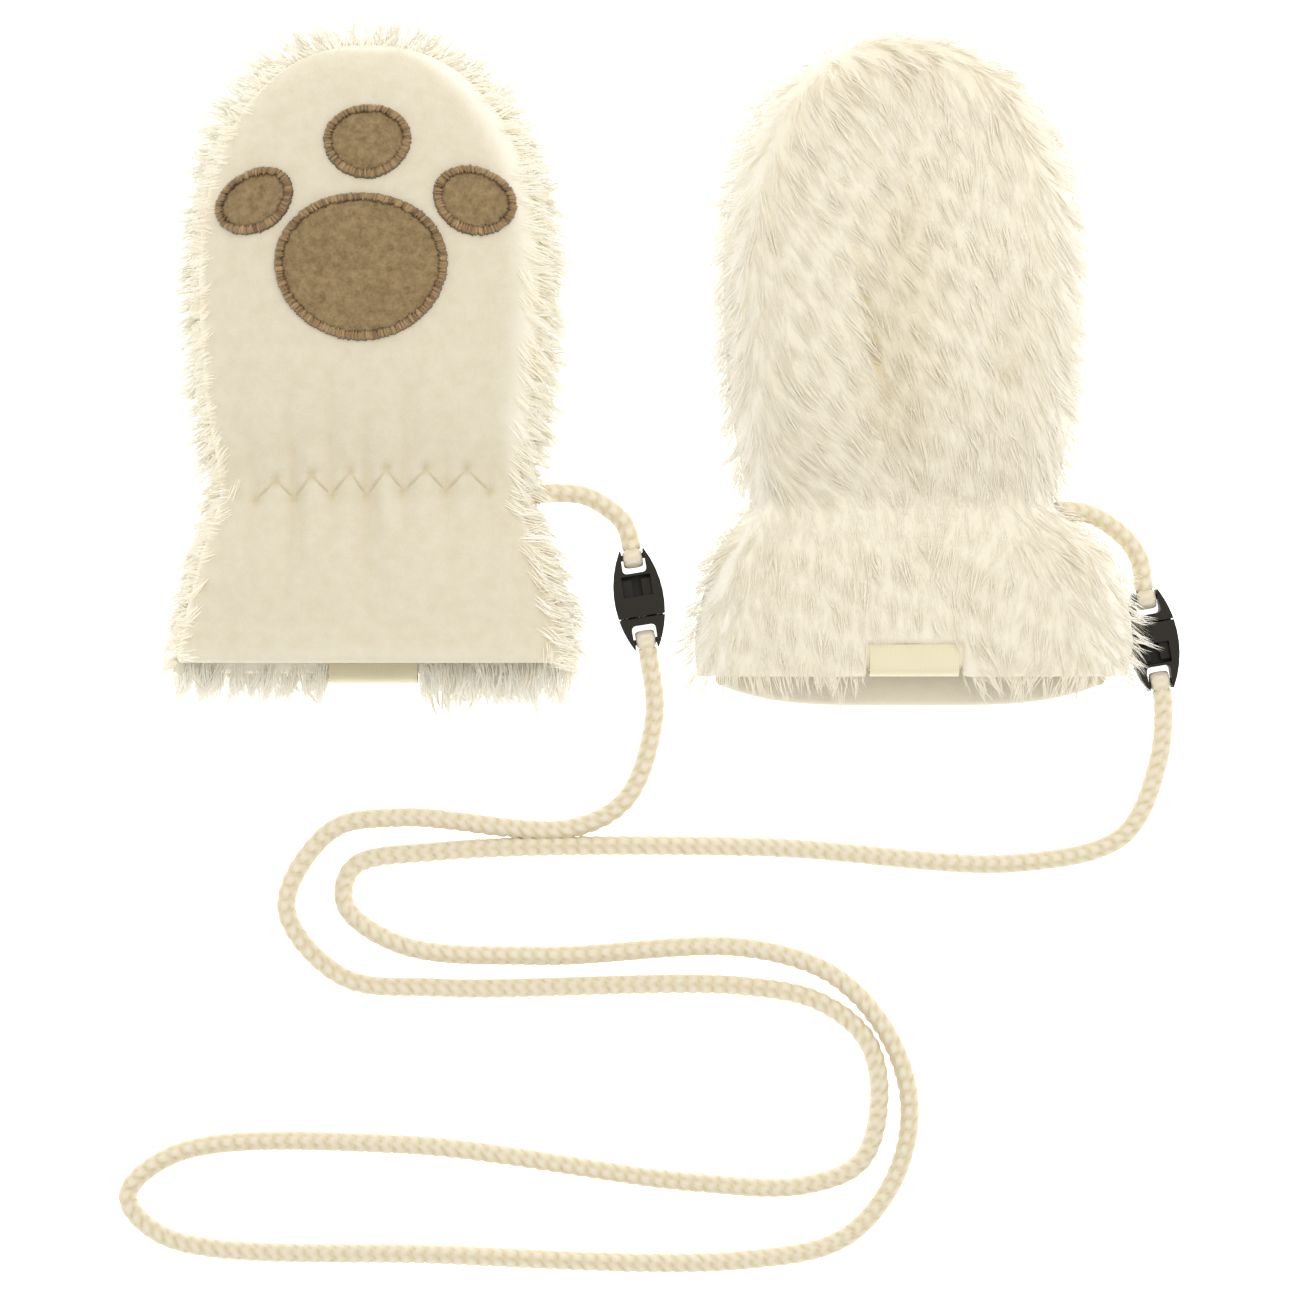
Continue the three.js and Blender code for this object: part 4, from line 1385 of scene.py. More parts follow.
@dataclass
class CordSet:
    """The cord between the mittens with its two clasps."""

    finishes: Finishes
    knit: KnittedCord = KnittedCord()

    def routes(self) -> dict[CordStretch, Array]:
        """Points of each stretch, from the mitten or clasp that it leaves to where it ends."""
        left, right = LEFT_CLASP, RIGHT_CLASP
        end, straight = left.cord_end, left.cord_straight
        middle = [(x, y, CORD_Z) for x, y in LONG_CORD]
        return {
            CordStretch.LEFT: np.array([*LEFT_CORD, left.at(straight), left.at(end)]),
            CordStretch.LONG: np.array(
                [
                    left.at(-end),
                    left.at(-straight),
                    *middle,
                    right.at(straight),
                    right.at(end),
                ]
            ),
            CordStretch.RIGHT: np.array([*RIGHT_CORD, right.at(-straight), right.at(-end)]),
        }

    def build(self) -> None:
        """Makes clasps, loops and cords."""
        halves = {c.name: c.build(self.finishes.plastic) for c in (LEFT_CLASP, RIGHT_CLASP)}
        loops = {
            (clasp.name, end): clasp.loop(end, self.finishes.cord)
            for clasp in (LEFT_CLASP, RIGHT_CLASP)
            for end in (1, -1)
        }
        with_pieces = {
            CordStretch.LEFT: [loops["left", 1], *halves["left"]],
            CordStretch.LONG: [loops["left", -1], loops["right", 1], *halves["right"]],
            CordStretch.RIGHT: [loops["right", -1]],
        }
        for stretch, route in self.routes().items():
            node = f"cord_{stretch.name.lower()}"
            piece, line = self.knit.build(f"knitted_{node}", route, self.finishes.cord)
            dress(piece, "cord", node)
            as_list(with_pieces[stretch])


# Paw pads


@dataclass(frozen=True)
class Pad:
    """One paw pad: place from the palm's middle line, half-sizes and turn of its long axis.

    sewn is how far from there the pad is sewn on the mitten that shows its palm.
    """

    name: str
    x: float
    y: float
    long: float
    short: float
    turn: float
    sewn: tuple[float, float]


PADS = (
    Pad("pad_main", -1.8, 22.4, 18.7, 16.0, 0.0, (0.8, -0.9)),
    Pad("toe_1", -25.5, 36.5, 9.0, 6.7, 30.0, (1.3, -1.4)),
    Pad("toe_2", -0.9, 49.9, 9.5, 8.1, 4.0, (1.2, -1.8)),
    Pad("toe_3", 22.7, 37.0, 9.0, 7.4, -20.0, (0.7, -1.7)),
)


@dataclass
class PawPad:
    """A fleece pad with its satin-stitched border, laid on the palm's own surface."""

    pad: Pad
    centre_x: float
    mirror: bool
    finishes: Finishes
    border: float = 2.1
    stitch: float = 0.33

    def outline(self, angle: Array, inset: Array) -> tuple[Array, Array]:
        """Points on the pad's edge, moved in by inset: an ellipse a little fuller below."""
        pad = self.pad
        sign, sewn = (-1, (0.0, 0.0)) if self.mirror else (1, pad.sewn)
        turn = math.radians(pad.turn)
        along = (pad.long - inset) * np.cos(angle)
        across = (pad.short - inset) * np.sin(angle) * (1 - 0.06 * np.sin(angle))
        x = pad.x + sewn[0] + along * math.cos(turn) - across * math.sin(turn)
        y = pad.y + sewn[1] + along * math.sin(turn) + across * math.cos(turn)
        return self.centre_x + sign * x, y

    def perimeter(self) -> float:
        """Length of the pad's edge, from Ramanujan's formula for an ellipse."""
        a, b = self.pad.long, self.pad.short
        return math.pi * (3 * (a + b) - math.sqrt((3 * a + b) * (a + 3 * b)))

    def build(
        self, prefix: str, place: Any, top: float, per_stitch: int, rng: np.random.Generator
    ) -> None:
        """Makes the field and the border.

        The field is a low dome with uneven edges. Across the border the height is a flat-topped
        arch, and round it each stitch is a ridge whose ends stand in or out a little.

        Args:
            prefix: left or right.
            place: function of x, y and lift that gives a point over or under the palm.
            top: height of the border over the cloth.
            per_stitch: number of points for each stitch of the border.
            rng: the random numbers.
        """
        node = f"{prefix}_{self.pad.name}"
        rings, around = 16, 96
        share = np.linspace(0, 1, rings)[:, None]
        angle = 2 * math.pi * np.arange(around)[None, :] / around
        reach = self.pad.short - self.border * 0.72
        inset = self.pad.short - reach * share
        x, y = self.outline(angle, inset)
        rise = top * (0.62 - 0.2 * share**6) + 0.1 * top * np.sin(1.1 * x) * np.sin(0.9 * y + 1)
        upper = place(x, y, rise * np.ones_like(x))
        lower = place(x, y, np.zeros_like(x))
        points = np.concatenate([upper, lower[::-1]], axis=0)
        quads = grid_faces(2 * rings, around, around=True)
        zero = np.zeros(points.shape[:2])
        field = make_piece(
            f"{node}_field", points.reshape(-1, 3), [quads], self.finishes.pad, {"pale": zero}
        )
        dress(weld(field), "pad_fleece", node)
        stitches = round(self.perimeter() / self.stitch)
        across = np.linspace(0, 1, 9)[:, None]
        count = stitches * per_stitch
        turn = 2 * math.pi * np.arange(count)[None, :] / count
        which = np.arange(count) // per_stitch
        within = (np.arange(count) % per_stitch) / per_stitch
        out_end = rng.normal(0, 0.1, stitches)[which]
        in_end = rng.normal(0, 0.18, stitches)[which]
        inset = self.border * (1 - across) + in_end * (1 - across) - out_end * across
        x, y = self.outline(turn, inset)
        arch = np.clip(1 - np.abs(2 * across - 1) ** 3.2, 0, 1) ** 0.5
        ridge = 0.1 * np.cos(2 * math.pi * (within - 0.5))[None, :]
        lift = arch * (top + ridge + 0.05 * rng.normal(0, 1, stitches)[which][None, :])
        upper = place(x, y, 0.05 + lift)
        lower = place(x[::-1][1:-1:3], y[::-1][1:-1:3], np.zeros_like(x[1:-1:3]))
        points = np.concatenate([upper, lower], axis=0)
        rows = len(points)
        body = grid_faces(rows, count, around=True)
        last, after = (rows - 1) * count + np.arange(count), (np.arange(count) + 1) % count
        shut = np.stack([last, (rows - 1) * count + after, after, np.arange(count)], axis=-1)
        # Random stitch tone plus a painted highlight on each stitch's ridge, only on the top of the
        # border.
        tone = np.clip(rng.normal(0.4, 0.32, stitches)[which][None, :] + 2 * ridge, 0, 1)
        values = {
            "across": np.concatenate([across * np.ones((1, count)), np.zeros_like(lower[..., 0])]),
            "tone": tone * np.append(arch[:, 0] ** 3, np.zeros(len(lower)))[:, None],
        }
        satin = make_piece(
            f"{node}_border", points.reshape(-1, 3), [body, shut], self.finishes.satin, values
        )
        dress(satin, "pad_fleece", node)


# Left mitten, palm up


@dataclass(frozen=True)
class Fold:
    """A soft fold that the elastic throws: place, depth, half-width and how far it runs."""

    x: float
    depth: float
    wide: float
    above: float
    below: float
    lean: float = 0.0


LEFT_FORM = Form(
    -61.4,
    8.0,
    -65.0,
    -72.6,
    (
        Row(19, 0, 37.6, 42.0, 16),
        Row(0, 0, 36.8, 41.0, 16),
        Row(-13, 0, 35.2, 38.6, 14.6),
        Row(-22, 0, 33.5, 35.8, 12.4),
        Row(-27, 0, 33.0, 35.0, 11.6),
        Row(-32, 0, 33.8, 36.4, 12),
        Row(-39, 0.2, 36.6, 40.4, 12.8),
        Row(-49, 0.4, 39.6, 43.4, 13.2),
        Row(-58, 0.4, 41.6, 45.6, 13),
        Row(-65, 0.2, 42.8, 46.8, 12.8),
        Row(-74.8, 0, 42.8, 45.4, 12.8),
    ),
)

ZIGZAG_UPPER = (
    (-81.2, -25.3),
    (-73.5, -24.2),
    (-65.1, -23.5),
    (-57.2, -22.9),
    (-48.6, -22.9),
    (-39.8, -22.9),
)
ZIGZAG_LOWER = (
    (-85.8, -29.5),
    (-77.4, -29.3),
    (-69.3, -28.6),
    (-61.6, -28.8),
    (-53.5, -27.7),
    (-44.4, -27.7),
    (-34.8, -27.7),
)


@dataclass
class LeftMitten:
    """The mitten that shows its palm, with fur standing round the palm's edge."""

    finishes: Finishes
    rng: np.random.Generator
    form: Form = LEFT_FORM
    hem_band: float = 7.4
    columns: int = 84
    folds: tuple[Fold, ...] = (
        Fold(-24.4, 1.3, 2.5, 9, 10, -0.1),
        Fold(-16.0, 2.2, 2.8, 19, 26, -0.05),
        Fold(-7.9, 1.9, 2.6, 26, 13, 0.02),
        Fold(-0.2, 2.2, 2.8, 17, 30, 0.03),
        Fold(7.9, 1.7, 2.6, 22, 12, 0.03),
        Fold(17.0, 1.7, 2.7, 13, 15, 0.08),
        Fold(26.6, 1.2, 2.4, 9, 9, 0.12),
    )

    def fold_depth(self, x: Array, y: Array, reach: Array) -> Array:
        """Depth of the folds: each a Gaussian across, fading along its own length."""
        from_middle = x - self.form.centre_x
        away = y - WRIST_Y
        depth = np.zeros(np.broadcast(x, y).shape)
        for fold in self.folds:
            run = np.where(away > 0, fold.above, fold.below)
            wide = fold.wide * (1 + 0.5 * np.abs(away) / run)
            path = fold.x + fold.lean * np.abs(away)
            shape = np.exp(-(((from_middle - path) / wide) ** 2))
            depth = depth + fold.depth * shape * np.exp(-((away / run) ** 2))
        return depth * (1 - np.clip(np.abs(reach), 0, 1) ** 4)

    def painted_fold_shade(self, x: Array, y: Array) -> Array:
        """Painted shade: how much darker the nap is painted in the zigzag's pits and along the
        folds.
        """
        tone = np.zeros(np.broadcast(x, y).shape)
        for px, py in (*ZIGZAG_UPPER, *ZIGZAG_LOWER):
            pit = np.exp(-(((x - px) / 0.9) ** 2) - ((y - py) / 1.2) ** 2)
            tone = np.maximum(tone, 0.62 * pit)
        from_middle, away = x - self.form.centre_x, y - WRIST_Y
        for fold in self.folds:
            run = 0.8 * np.where(away > 0, fold.above, fold.below)
            path = fold.x + fold.lean * np.abs(away)
            line = np.exp(-(((from_middle - path) / 1.0) ** 2)) * np.exp(-((away / run) ** 2))
            tone = np.maximum(tone, 0.11 * fold.depth * line)
        return tone

    def height(self, x: Array, y: Array) -> Array:
        """Height of the palm's outer face.

        The pillow section over the seam, less the folds and the dimples where the zigzag's points
        pull the cloth in, plus the turned-up hem band and its shallow stitched groove.
        """
        at = self.form.section(y, PALM_TIP_Y)
        reach = np.clip((x - at.middle) / np.maximum(at.palm, 1e-6), -1, 1)
        smooth = self.form.seam_z + at.crown * at.rise * pillow(reach)
        fold = self.fold_depth(x, y, reach)
        dimple = np.zeros_like(smooth)
        for px, py in ZIGZAG_UPPER:
            dimple = dimple + 1.1 * np.exp(-(((x - px) ** 2 + (y - py) ** 2) / 1.5**2))
        for px, py in ZIGZAG_LOWER:
            dimple = dimple + 0.6 * np.exp(-(((x - px) ** 2 + (y - py) ** 2) / 1.6**2))
        band_top = self.form.palm_hem_y + self.hem_band
        band = 1.1 * smoothstep(-y, -band_top - 1, -band_top + 1) * pillow(reach)
        groove = 0.5 * np.exp(-(((y - band_top + 1.6) / 1.3) ** 2)) * pillow(reach)
        soft = 0.28 * np.sin(0.21 * x + 0.5) * np.sin(0.17 * y + 0.11 * x) * pillow(reach)
        return smooth - fold - dimple * pillow(reach) + band - groove + soft * at.rise

    def on_palm(self, x: Array, y: Array, lift: Array) -> Array:
        """Points that stand lift over the palm, moved out square to the cloth."""
        step = 0.2
        slope_x = (self.height(x + step, y) - self.height(x - step, y)) / (2 * step)
        slope_y = (self.height(x, y + step) - self.height(x, y - step)) / (2 * step)
        normal = unit(np.stack([-slope_x, -slope_y, np.ones_like(slope_x)], axis=-1))
        return stack(x, y, self.height(x, y)) + normal * (lift[..., None] + 0.05)

    def build_palm(self) -> bpy.types.Object:
        """The palm: one panel of fleece from the finger tip to its turned-up hem."""
        stations = Stations(self.form.palm_hem_y, 30, 86, 5, 1.5)
        outer_y, inner_y = stations.at(PALM_TIP_Y), stations.at(PALM_TIP_Y - FLEECE)
        at = self.form.section(outer_y, PALM_TIP_Y)
        reach = reaches(self.columns)
        outer_x = at.middle + reach * at.palm
        outer = stack(outer_x, outer_y, self.height(outer_x, outer_y))
        inner_x = at.middle + reach * (at.palm - FLEECE * at.narrow)
        fold = self.fold_depth(outer_x, outer_y, reach)
        inner_z = self.form.seam_z + (at.crown - FLEECE) * at.rise * pillow(reach) - fold
        inner = stack(inner_x, inner_y, inner_z)
        # Painted light: the nap is painted paler towards the palm's edges and tip, over a wider band
        # on the right of the hand.
        from_edge = (1 - np.abs(reach)) * at.palm
        from_tip = PALM_TIP_Y - outer_y
        hand = smoothstep(outer_y, -30, -10)
        fade = 2.4 + 6.0 * hand * smoothstep(reach, -0.2, 0.6)
        near = np.minimum(from_edge / fade, from_tip / 3.0)
        edge = 1 - smoothstep(near, 0.0, 1.0)
        # Painted highlight: a paler band along the hem's rolled lip.
        lip = 0.15 * smoothstep(-outer_y, 60.5, 64.0)
        pale = (np.maximum(0.97 * edge, lip), np.zeros_like(edge))
        # Painted shade in the folds and in the zigzag's pits.
        painted_shade = (self.painted_fold_shade(outer_x, outer_y), np.zeros_like(edge))
        piece = make_wall(
            "left_palm_fleece", outer, inner, stations.squeeze(), self.finishes.palm, pale, painted_shade
        )
        self.build_fuzz(outer)
        return dress(piece, "fleece", "left_palm")

    def skin(self) -> tuple[Array, Array, Stations]:
        """The plush's cloth with its matted underfur: a tray that is flat on the floor.

        The inner face falls from the seam to the tray's floor as the pillow section does. The
        outer face runs up the side and flat under the mitten.
        """
        stations = Stations(self.form.plush_hem_y + 5.2, 24, 60, 4, 1.0)
        outer_y = stations.at(PALM_TIP_Y + 0.6)
        inner_y = stations.at(PALM_TIP_Y - FLEECE)
        at = self.form.section(outer_y, PALM_TIP_Y + 0.6)
        reach = reaches(60, 0.35)
        rim = self.form.seam_z - SEAM
        thin = smoothstep(-outer_y, -self.form.palm_hem_y, -self.form.palm_hem_y + 3)
        inner_z = rim - 1.7 * at.rise * pillow(reach) - 1.6 * thin * pillow(reach)
        inner = stack(at.middle + reach * (at.palm - 1.6 * at.narrow), inner_y, inner_z)
        outer_z = np.maximum(0.7, rim + 0.6 - (rim + 1.4) * at.rise * pillow(reach) ** 1.2)
        outer = stack(at.middle + reach * (at.palm + 0.5 * at.narrow), outer_y, outer_z)
        return outer, inner, stations

    def build_back(self) -> None:
        """The plush back: its cloth, the fringe that shows round the palm and the pressed pile."""
        outer, inner, stations = self.skin()
        # The inner face, which shows in shade under the hem, is painted paler: painted light.
        pale = (np.full(outer.shape[:2], 0.4), np.full(inner.shape[:2], 0.9))
        cloth = make_wall(
            "left_back_cloth", outer, inner, stations.squeeze(), self.finishes.skin, pale
        )
        dress(cloth, "plush", "left_back")
        fur = self.fringe(outer, inner)
        under = self.pressed(outer)

    def label_box(self) -> Box:
        """The space that the fur leaves free under and over the label."""
        x, half = LEFT_LABEL.x, LEFT_LABEL.width / 2 + 0.2
        return Box((x - half, -90.0, -1.0), (x + half, -62.0, 30.0))

    def fringe(self, outer: Array, inner: Array) -> list[bpy.types.Object]:
        """Fur on the side of the tray, from the floor to just over the seam, and on the hem.

        Its fibres turn their flat sides up, so they look as light as fine fur does.
        """
        cells = (outer[1:, 1:] + outer[:-1, :-1]) / 2
        side = smoothstep(cells[..., 2], 0.8, 2.2)
        hem = smoothstep(-cells[..., 1], 62.0, 65.5)
        sides = scatter(outer, 800, np.maximum(side, 1.3 * hem) + 1e-6)
        lip_x = (inner[1:, 1:, 0] + inner[:-1, :-1, 0]) / 2
        lip_y = (inner[1:, 1:, 1] + inner[:-1, :-1, 1]) / 2
        open_edge = 1.7 * smoothstep(lip_x, -97, -92) * smoothstep(-lip_x, 68, 76)
        lip = scatter(inner, 170, smoothstep(-lip_y - open_edge, 63.6, 64.4) + 1e-6)
        roots = Roots(
            np.concatenate([sides.point, lip.point]),
            np.concatenate([sides.normal, lip.normal]),
            np.concatenate([sides.row, lip.row]),
            np.concatenate([sides.column, lip.column]),
        )
        x, y = roots.point[:, 0] - self.form.centre_x, roots.point[:, 1]
        out = np.stack([x / 40, np.where(y > SHOULDER_Y, (y - SHOULDER_Y) / 50, 0), 0 * x], axis=-1)
        out = unit(out)
        low = smoothstep(-y, 59.0, 67.0)[:, None]
        down = np.array([[0.0, -1.0, 0.0]])
        normal = unit(unit(out * (1 - low) + down * low) + np.array([[0, 0, 0.35]]))
        normal = unit(normal + 0.2 * roots.normal * (np.arange(len(x)) < len(sides.point))[:, None])
        lie = np.stack([0.1 * np.sign(x), -np.ones_like(x), 0.1 * np.ones_like(x)], axis=-1)
        upper_left = smoothstep(y, 34, 58) * smoothstep(-x, -6, 22)
        scale = 1.0 + 0.2 * smoothstep(x, -25, 30) + 0.45 * upper_left
        scale = scale * (1 - 0.12 * smoothstep(-y, 10, 30) * (1 - low[:, 0])) + 0.12 * low[:, 0]
        # pale=0.6 paints the fringe's locks near white, painted light; each lock also varies at
        # random.
        growth = Growth(
            7.2,
            11,
            1.4,
            0.7,
            lift_root=78,
            lift_tip=36,
            edge_lift=0,
            wander=26,
            curl=0.5,
            fibre=0.22,
            pale=0.6,
        )
        edge = np.zeros(len(x))
        placed = Roots(roots.point, normal, roots.row, roots.column)
        fibres = grow(placed, lie, scale, edge, growth, self.rng)
        facing = unit(fibres.normal * np.array([0.35, 0.35, 0.0]) + np.array([[0, 0, 1.0]]))
        fibres = Fibres(fibres.lines, facing, fibres.pale)
        fibres = fibres.where(~self.label_box().holds(fibres.lines).any(axis=1))
        piece = make_fur("left_fringe", fibres, growth.fibre, self.finishes.fringe)
        return [dress(piece, "plush", "left_back")]

    def build_fuzz(self, grid: Array) -> None:
        """Nap that stands off the palm's own edge and hides its seam, longest on the right."""
        out = (grid[1:, 1:, 0] + grid[:-1, :-1, 0]) / 2 - self.form.centre_x
        at = self.form.section((grid[1:, :-1, 1] + grid[:-1, :-1, 1]) / 2, PALM_TIP_Y)
        reach = np.abs(out) / np.maximum(at.palm, 1e-6)
        rim = np.maximum(smoothstep(reach, 0.86, 0.98), 1 - smoothstep(at.narrow, 0.05, 0.42))
        roots = scatter(grid, 560, rim + 1e-6)
        x = roots.point[:, 0] - self.form.centre_x
        edge = turned_away(roots.normal, 0.3, 0.9)
        flow = np.stack([0.2 * np.sign(x), -np.ones_like(x), -0.3 * np.ones_like(x)], axis=-1)
        flow = combed_out(flow, roots.normal, edge)
        scale = 0.85 + 0.3 * smoothstep(x, -20, 34)
        growth = Growth(
            4.8,
            10,
            1.6,
            0.3,
            lift_root=24,
            lift_tip=16,
            edge_lift=20,
            wander=24,
            fibre=0.18,
            mound=0.0,
            pale=0.35,
        )
        fibres = grow(roots, flow, scale, edge, growth, self.rng)
        facing = unit(fibres.normal * np.array([0.5, 0.5, 0.0]) + np.array([[0, 0, 1.0]]))
        fibres = Fibres(fibres.lines, facing, fibres.pale)
        piece = make_fur("left_palm_fuzz", fibres, growth.fibre, self.finishes.fringe)
        dress(piece, "fleece", "left_palm")

    def pressed(self, outer: Array) -> bpy.types.Object:
        """Pile that the mitten's own weight presses flat under it."""
        cells = (outer[1:, 1:] + outer[:-1, :-1]) / 2
        roots = scatter(outer, 400, 1 - smoothstep(cells[..., 2], 1.0, 4.0) + 1e-6)
        count = len(roots.point)
        flow = np.tile([0.25, -1.0, 0.0], (count, 1))
        growth = Growth(9.0, 5, 2.6, 0.45, 4, -3, 0, 26, 0.6, 0.85, 0.0, 0.42)
        down = np.tile([0.0, 0.0, -1.0], (count, 1))
        flat = Roots(roots.point, down, roots.row, roots.column)
        fibres = grow(flat, flow, np.ones(count), np.zeros(count), growth, self.rng)
        fibres.lines[..., 2] = growth.floor + 0.08 * fibres.pale[:, None]
        fibres = fibres.where(~self.label_box().holds(fibres.lines).any(axis=1))
        piece = make_fur("left_pressed_pile", fibres, growth.fibre, self.finishes.pile)
        return dress(piece, "plush", "left_back")

    def build_zigzag(self) -> None:
        """The elastic's zigzag: twelve short threads drawn into the cloth at their ends."""
        route = [ZIGZAG_LOWER[0]]
        for upper, lower in zip(ZIGZAG_UPPER, ZIGZAG_LOWER[1:]):
            route += [upper, lower]
        steps, sides, radius = 9, 8, 0.22
        share = np.linspace(0, 1, steps)
        angle = 2 * math.pi * np.arange(sides) / sides
        points, faces = [], []
        for start, end in zip(route[:-1], route[1:]):
            line = np.array(start) + (np.array(end) - np.array(start)) * share[:, None]
            arch = 0.3 * np.sin(math.pi * share) - 0.22
            middle = self.on_palm(line[:, 0], line[:, 1], arch)
            way = unit(np.gradient(middle, axis=0))
            side = unit(np.cross(way, [0.0, 0.0, 1.0]))
            top = np.cross(side, way)
            size = radius * np.sin(math.pi * np.clip(share, 0.04, 0.96)) ** 0.35
            ring = np.cos(angle)[:, None] * side[:, None] + np.sin(angle)[:, None] * top[:, None]
            tube = middle[:, None] + size[:, None, None] * ring
            first = sum(len(p) for p in points)
            points.append(tube.reshape(-1, 3))
            faces.append(first + grid_faces(steps, sides, around=True))
            faces.append(first + np.arange(sides)[None, ::-1])
            faces.append(first + (steps - 1) * sides + np.arange(sides)[None])
        cloud = np.concatenate(points)
        values = {"across": np.full(len(cloud), 0.6), "tone": np.full(len(cloud), 0.3)}
        piece = make_piece("left_zigzag", cloud, faces, self.finishes.sewing, values)
        dress(piece, "fleece")

    def build(self) -> None:
        """Builds the whole mitten."""
        palm = self.build_palm()
        self.build_back()
        self.build_zigzag()
        for pad in PADS:
            PawPad(pad, self.form.centre_x, False, self.finishes).build(
                "left", self.on_palm, 1.25, 4, self.rng
            )


# Labels


@dataclass(frozen=True)
class Label:
    """A blank woven tape folded over a hem, open towards the finger tips."""

    prefix: str
    x: float
    fold_y: float
    bottom_z: float
    width: float = 19.4
    leg: float = 6.8
    height: float = 6.6
    cloth: float = 0.42

    def build(self, finishes: Finishes) -> None:
        """Makes the tape.

        Its middle line runs along the upper leg, round the fold as a half-ellipse and back along
        the lower leg. The tape's faces stand half its thickness to both sides of that line.
        """
        legs, bend, across = 14, 16, 40
        half = (self.height - self.cloth) / 2
        middle_z = self.bottom_z + self.height / 2
        depth = 1.5
        turn = np.linspace(math.pi / 2, -math.pi / 2, bend)
        top_y = np.linspace(self.fold_y + self.leg, self.fold_y + depth, legs, endpoint=False)
        y = np.concatenate([top_y, self.fold_y + depth - depth * np.cos(turn), top_y[::-1]])
        z = np.concatenate([np.full(legs, half), half * np.sin(turn), np.full(legs, -half)])
        x = np.linspace(-self.width / 2, self.width / 2, across)[None, :]
        wave = 0.16 * np.sin(0.42 * x + 1.2) * np.sin(0.5 * y[:, None])
        sag = 0.35 * (2 * x / self.width) ** 2
        way = unit(np.stack([np.gradient(y), np.gradient(z)], axis=-1))
        normal_y, normal_z = way[:, 1:], -way[:, :1]
        sheets = []
        for sign in (1, -1):
            offset = sign * self.cloth / 2
            sheet_y = y[:, None] + offset * normal_y
            sheet_z = middle_z + z[:, None] + offset * normal_z + wave - sag * (z[:, None] > 0)
            sheets.append(stack(self.x + x, sheet_y, sheet_z))
        points = np.concatenate([sheets[0], sheets[1][:, ::-1]], axis=1)
        rows, columns = points.shape[:2]
        quads = grid_faces(rows, columns, around=True)
        half_row = columns // 2
        ends = []
        for row in (0, rows - 1):
            k = row * columns + np.arange(half_row - 1)
            twin = row * columns + columns - 1 - np.arange(half_row - 1)
            quad = np.stack([k, twin, twin - 1, k + 1], axis=-1)
            ends.append(quad if row == 0 else quad[:, ::-1])
        piece = make_piece(
            f"{self.prefix}_label_tape", points.reshape(-1, 3), [quads, *ends], finishes.tape
        )
        dress(piece, "label", f"{self.prefix}_label")


LEFT_LABEL = Label("left", -60.9, -69.5, 0.3)
RIGHT_LABEL = Label("right", 57.5, -67.8, 11.2)


# Right mitten, plush side up


RIGHT_FORM = Form(
    54.2,
    6.0,
    -74.6,
    -71.2,
    (
        Row(19, 1, 36.6, 41.5, 26),
        Row(0, 1, 36.2, 40.6, 25.6),
        Row(-13, 1.2, 35, 39.2, 23.8),
        Row(-23, 1.2, 33.4, 37.4, 20.4),
        Row(-30, 1.2, 32.8, 35.8, 17.8),
        Row(-35, 2.4, 34, 40, 18.8),
        Row(-41, 3.6, 36.8, 45.6, 20.6),
        Row(-49, 3.9, 39.8, 48.4, 21.2),
        Row(-58, 3.9, 41.8, 50.4, 21),
        Row(-66, 3.6, 42.8, 50, 20),
        Row(-74.8, 3, 42.8, 47.6, 18.4),
    ),
)


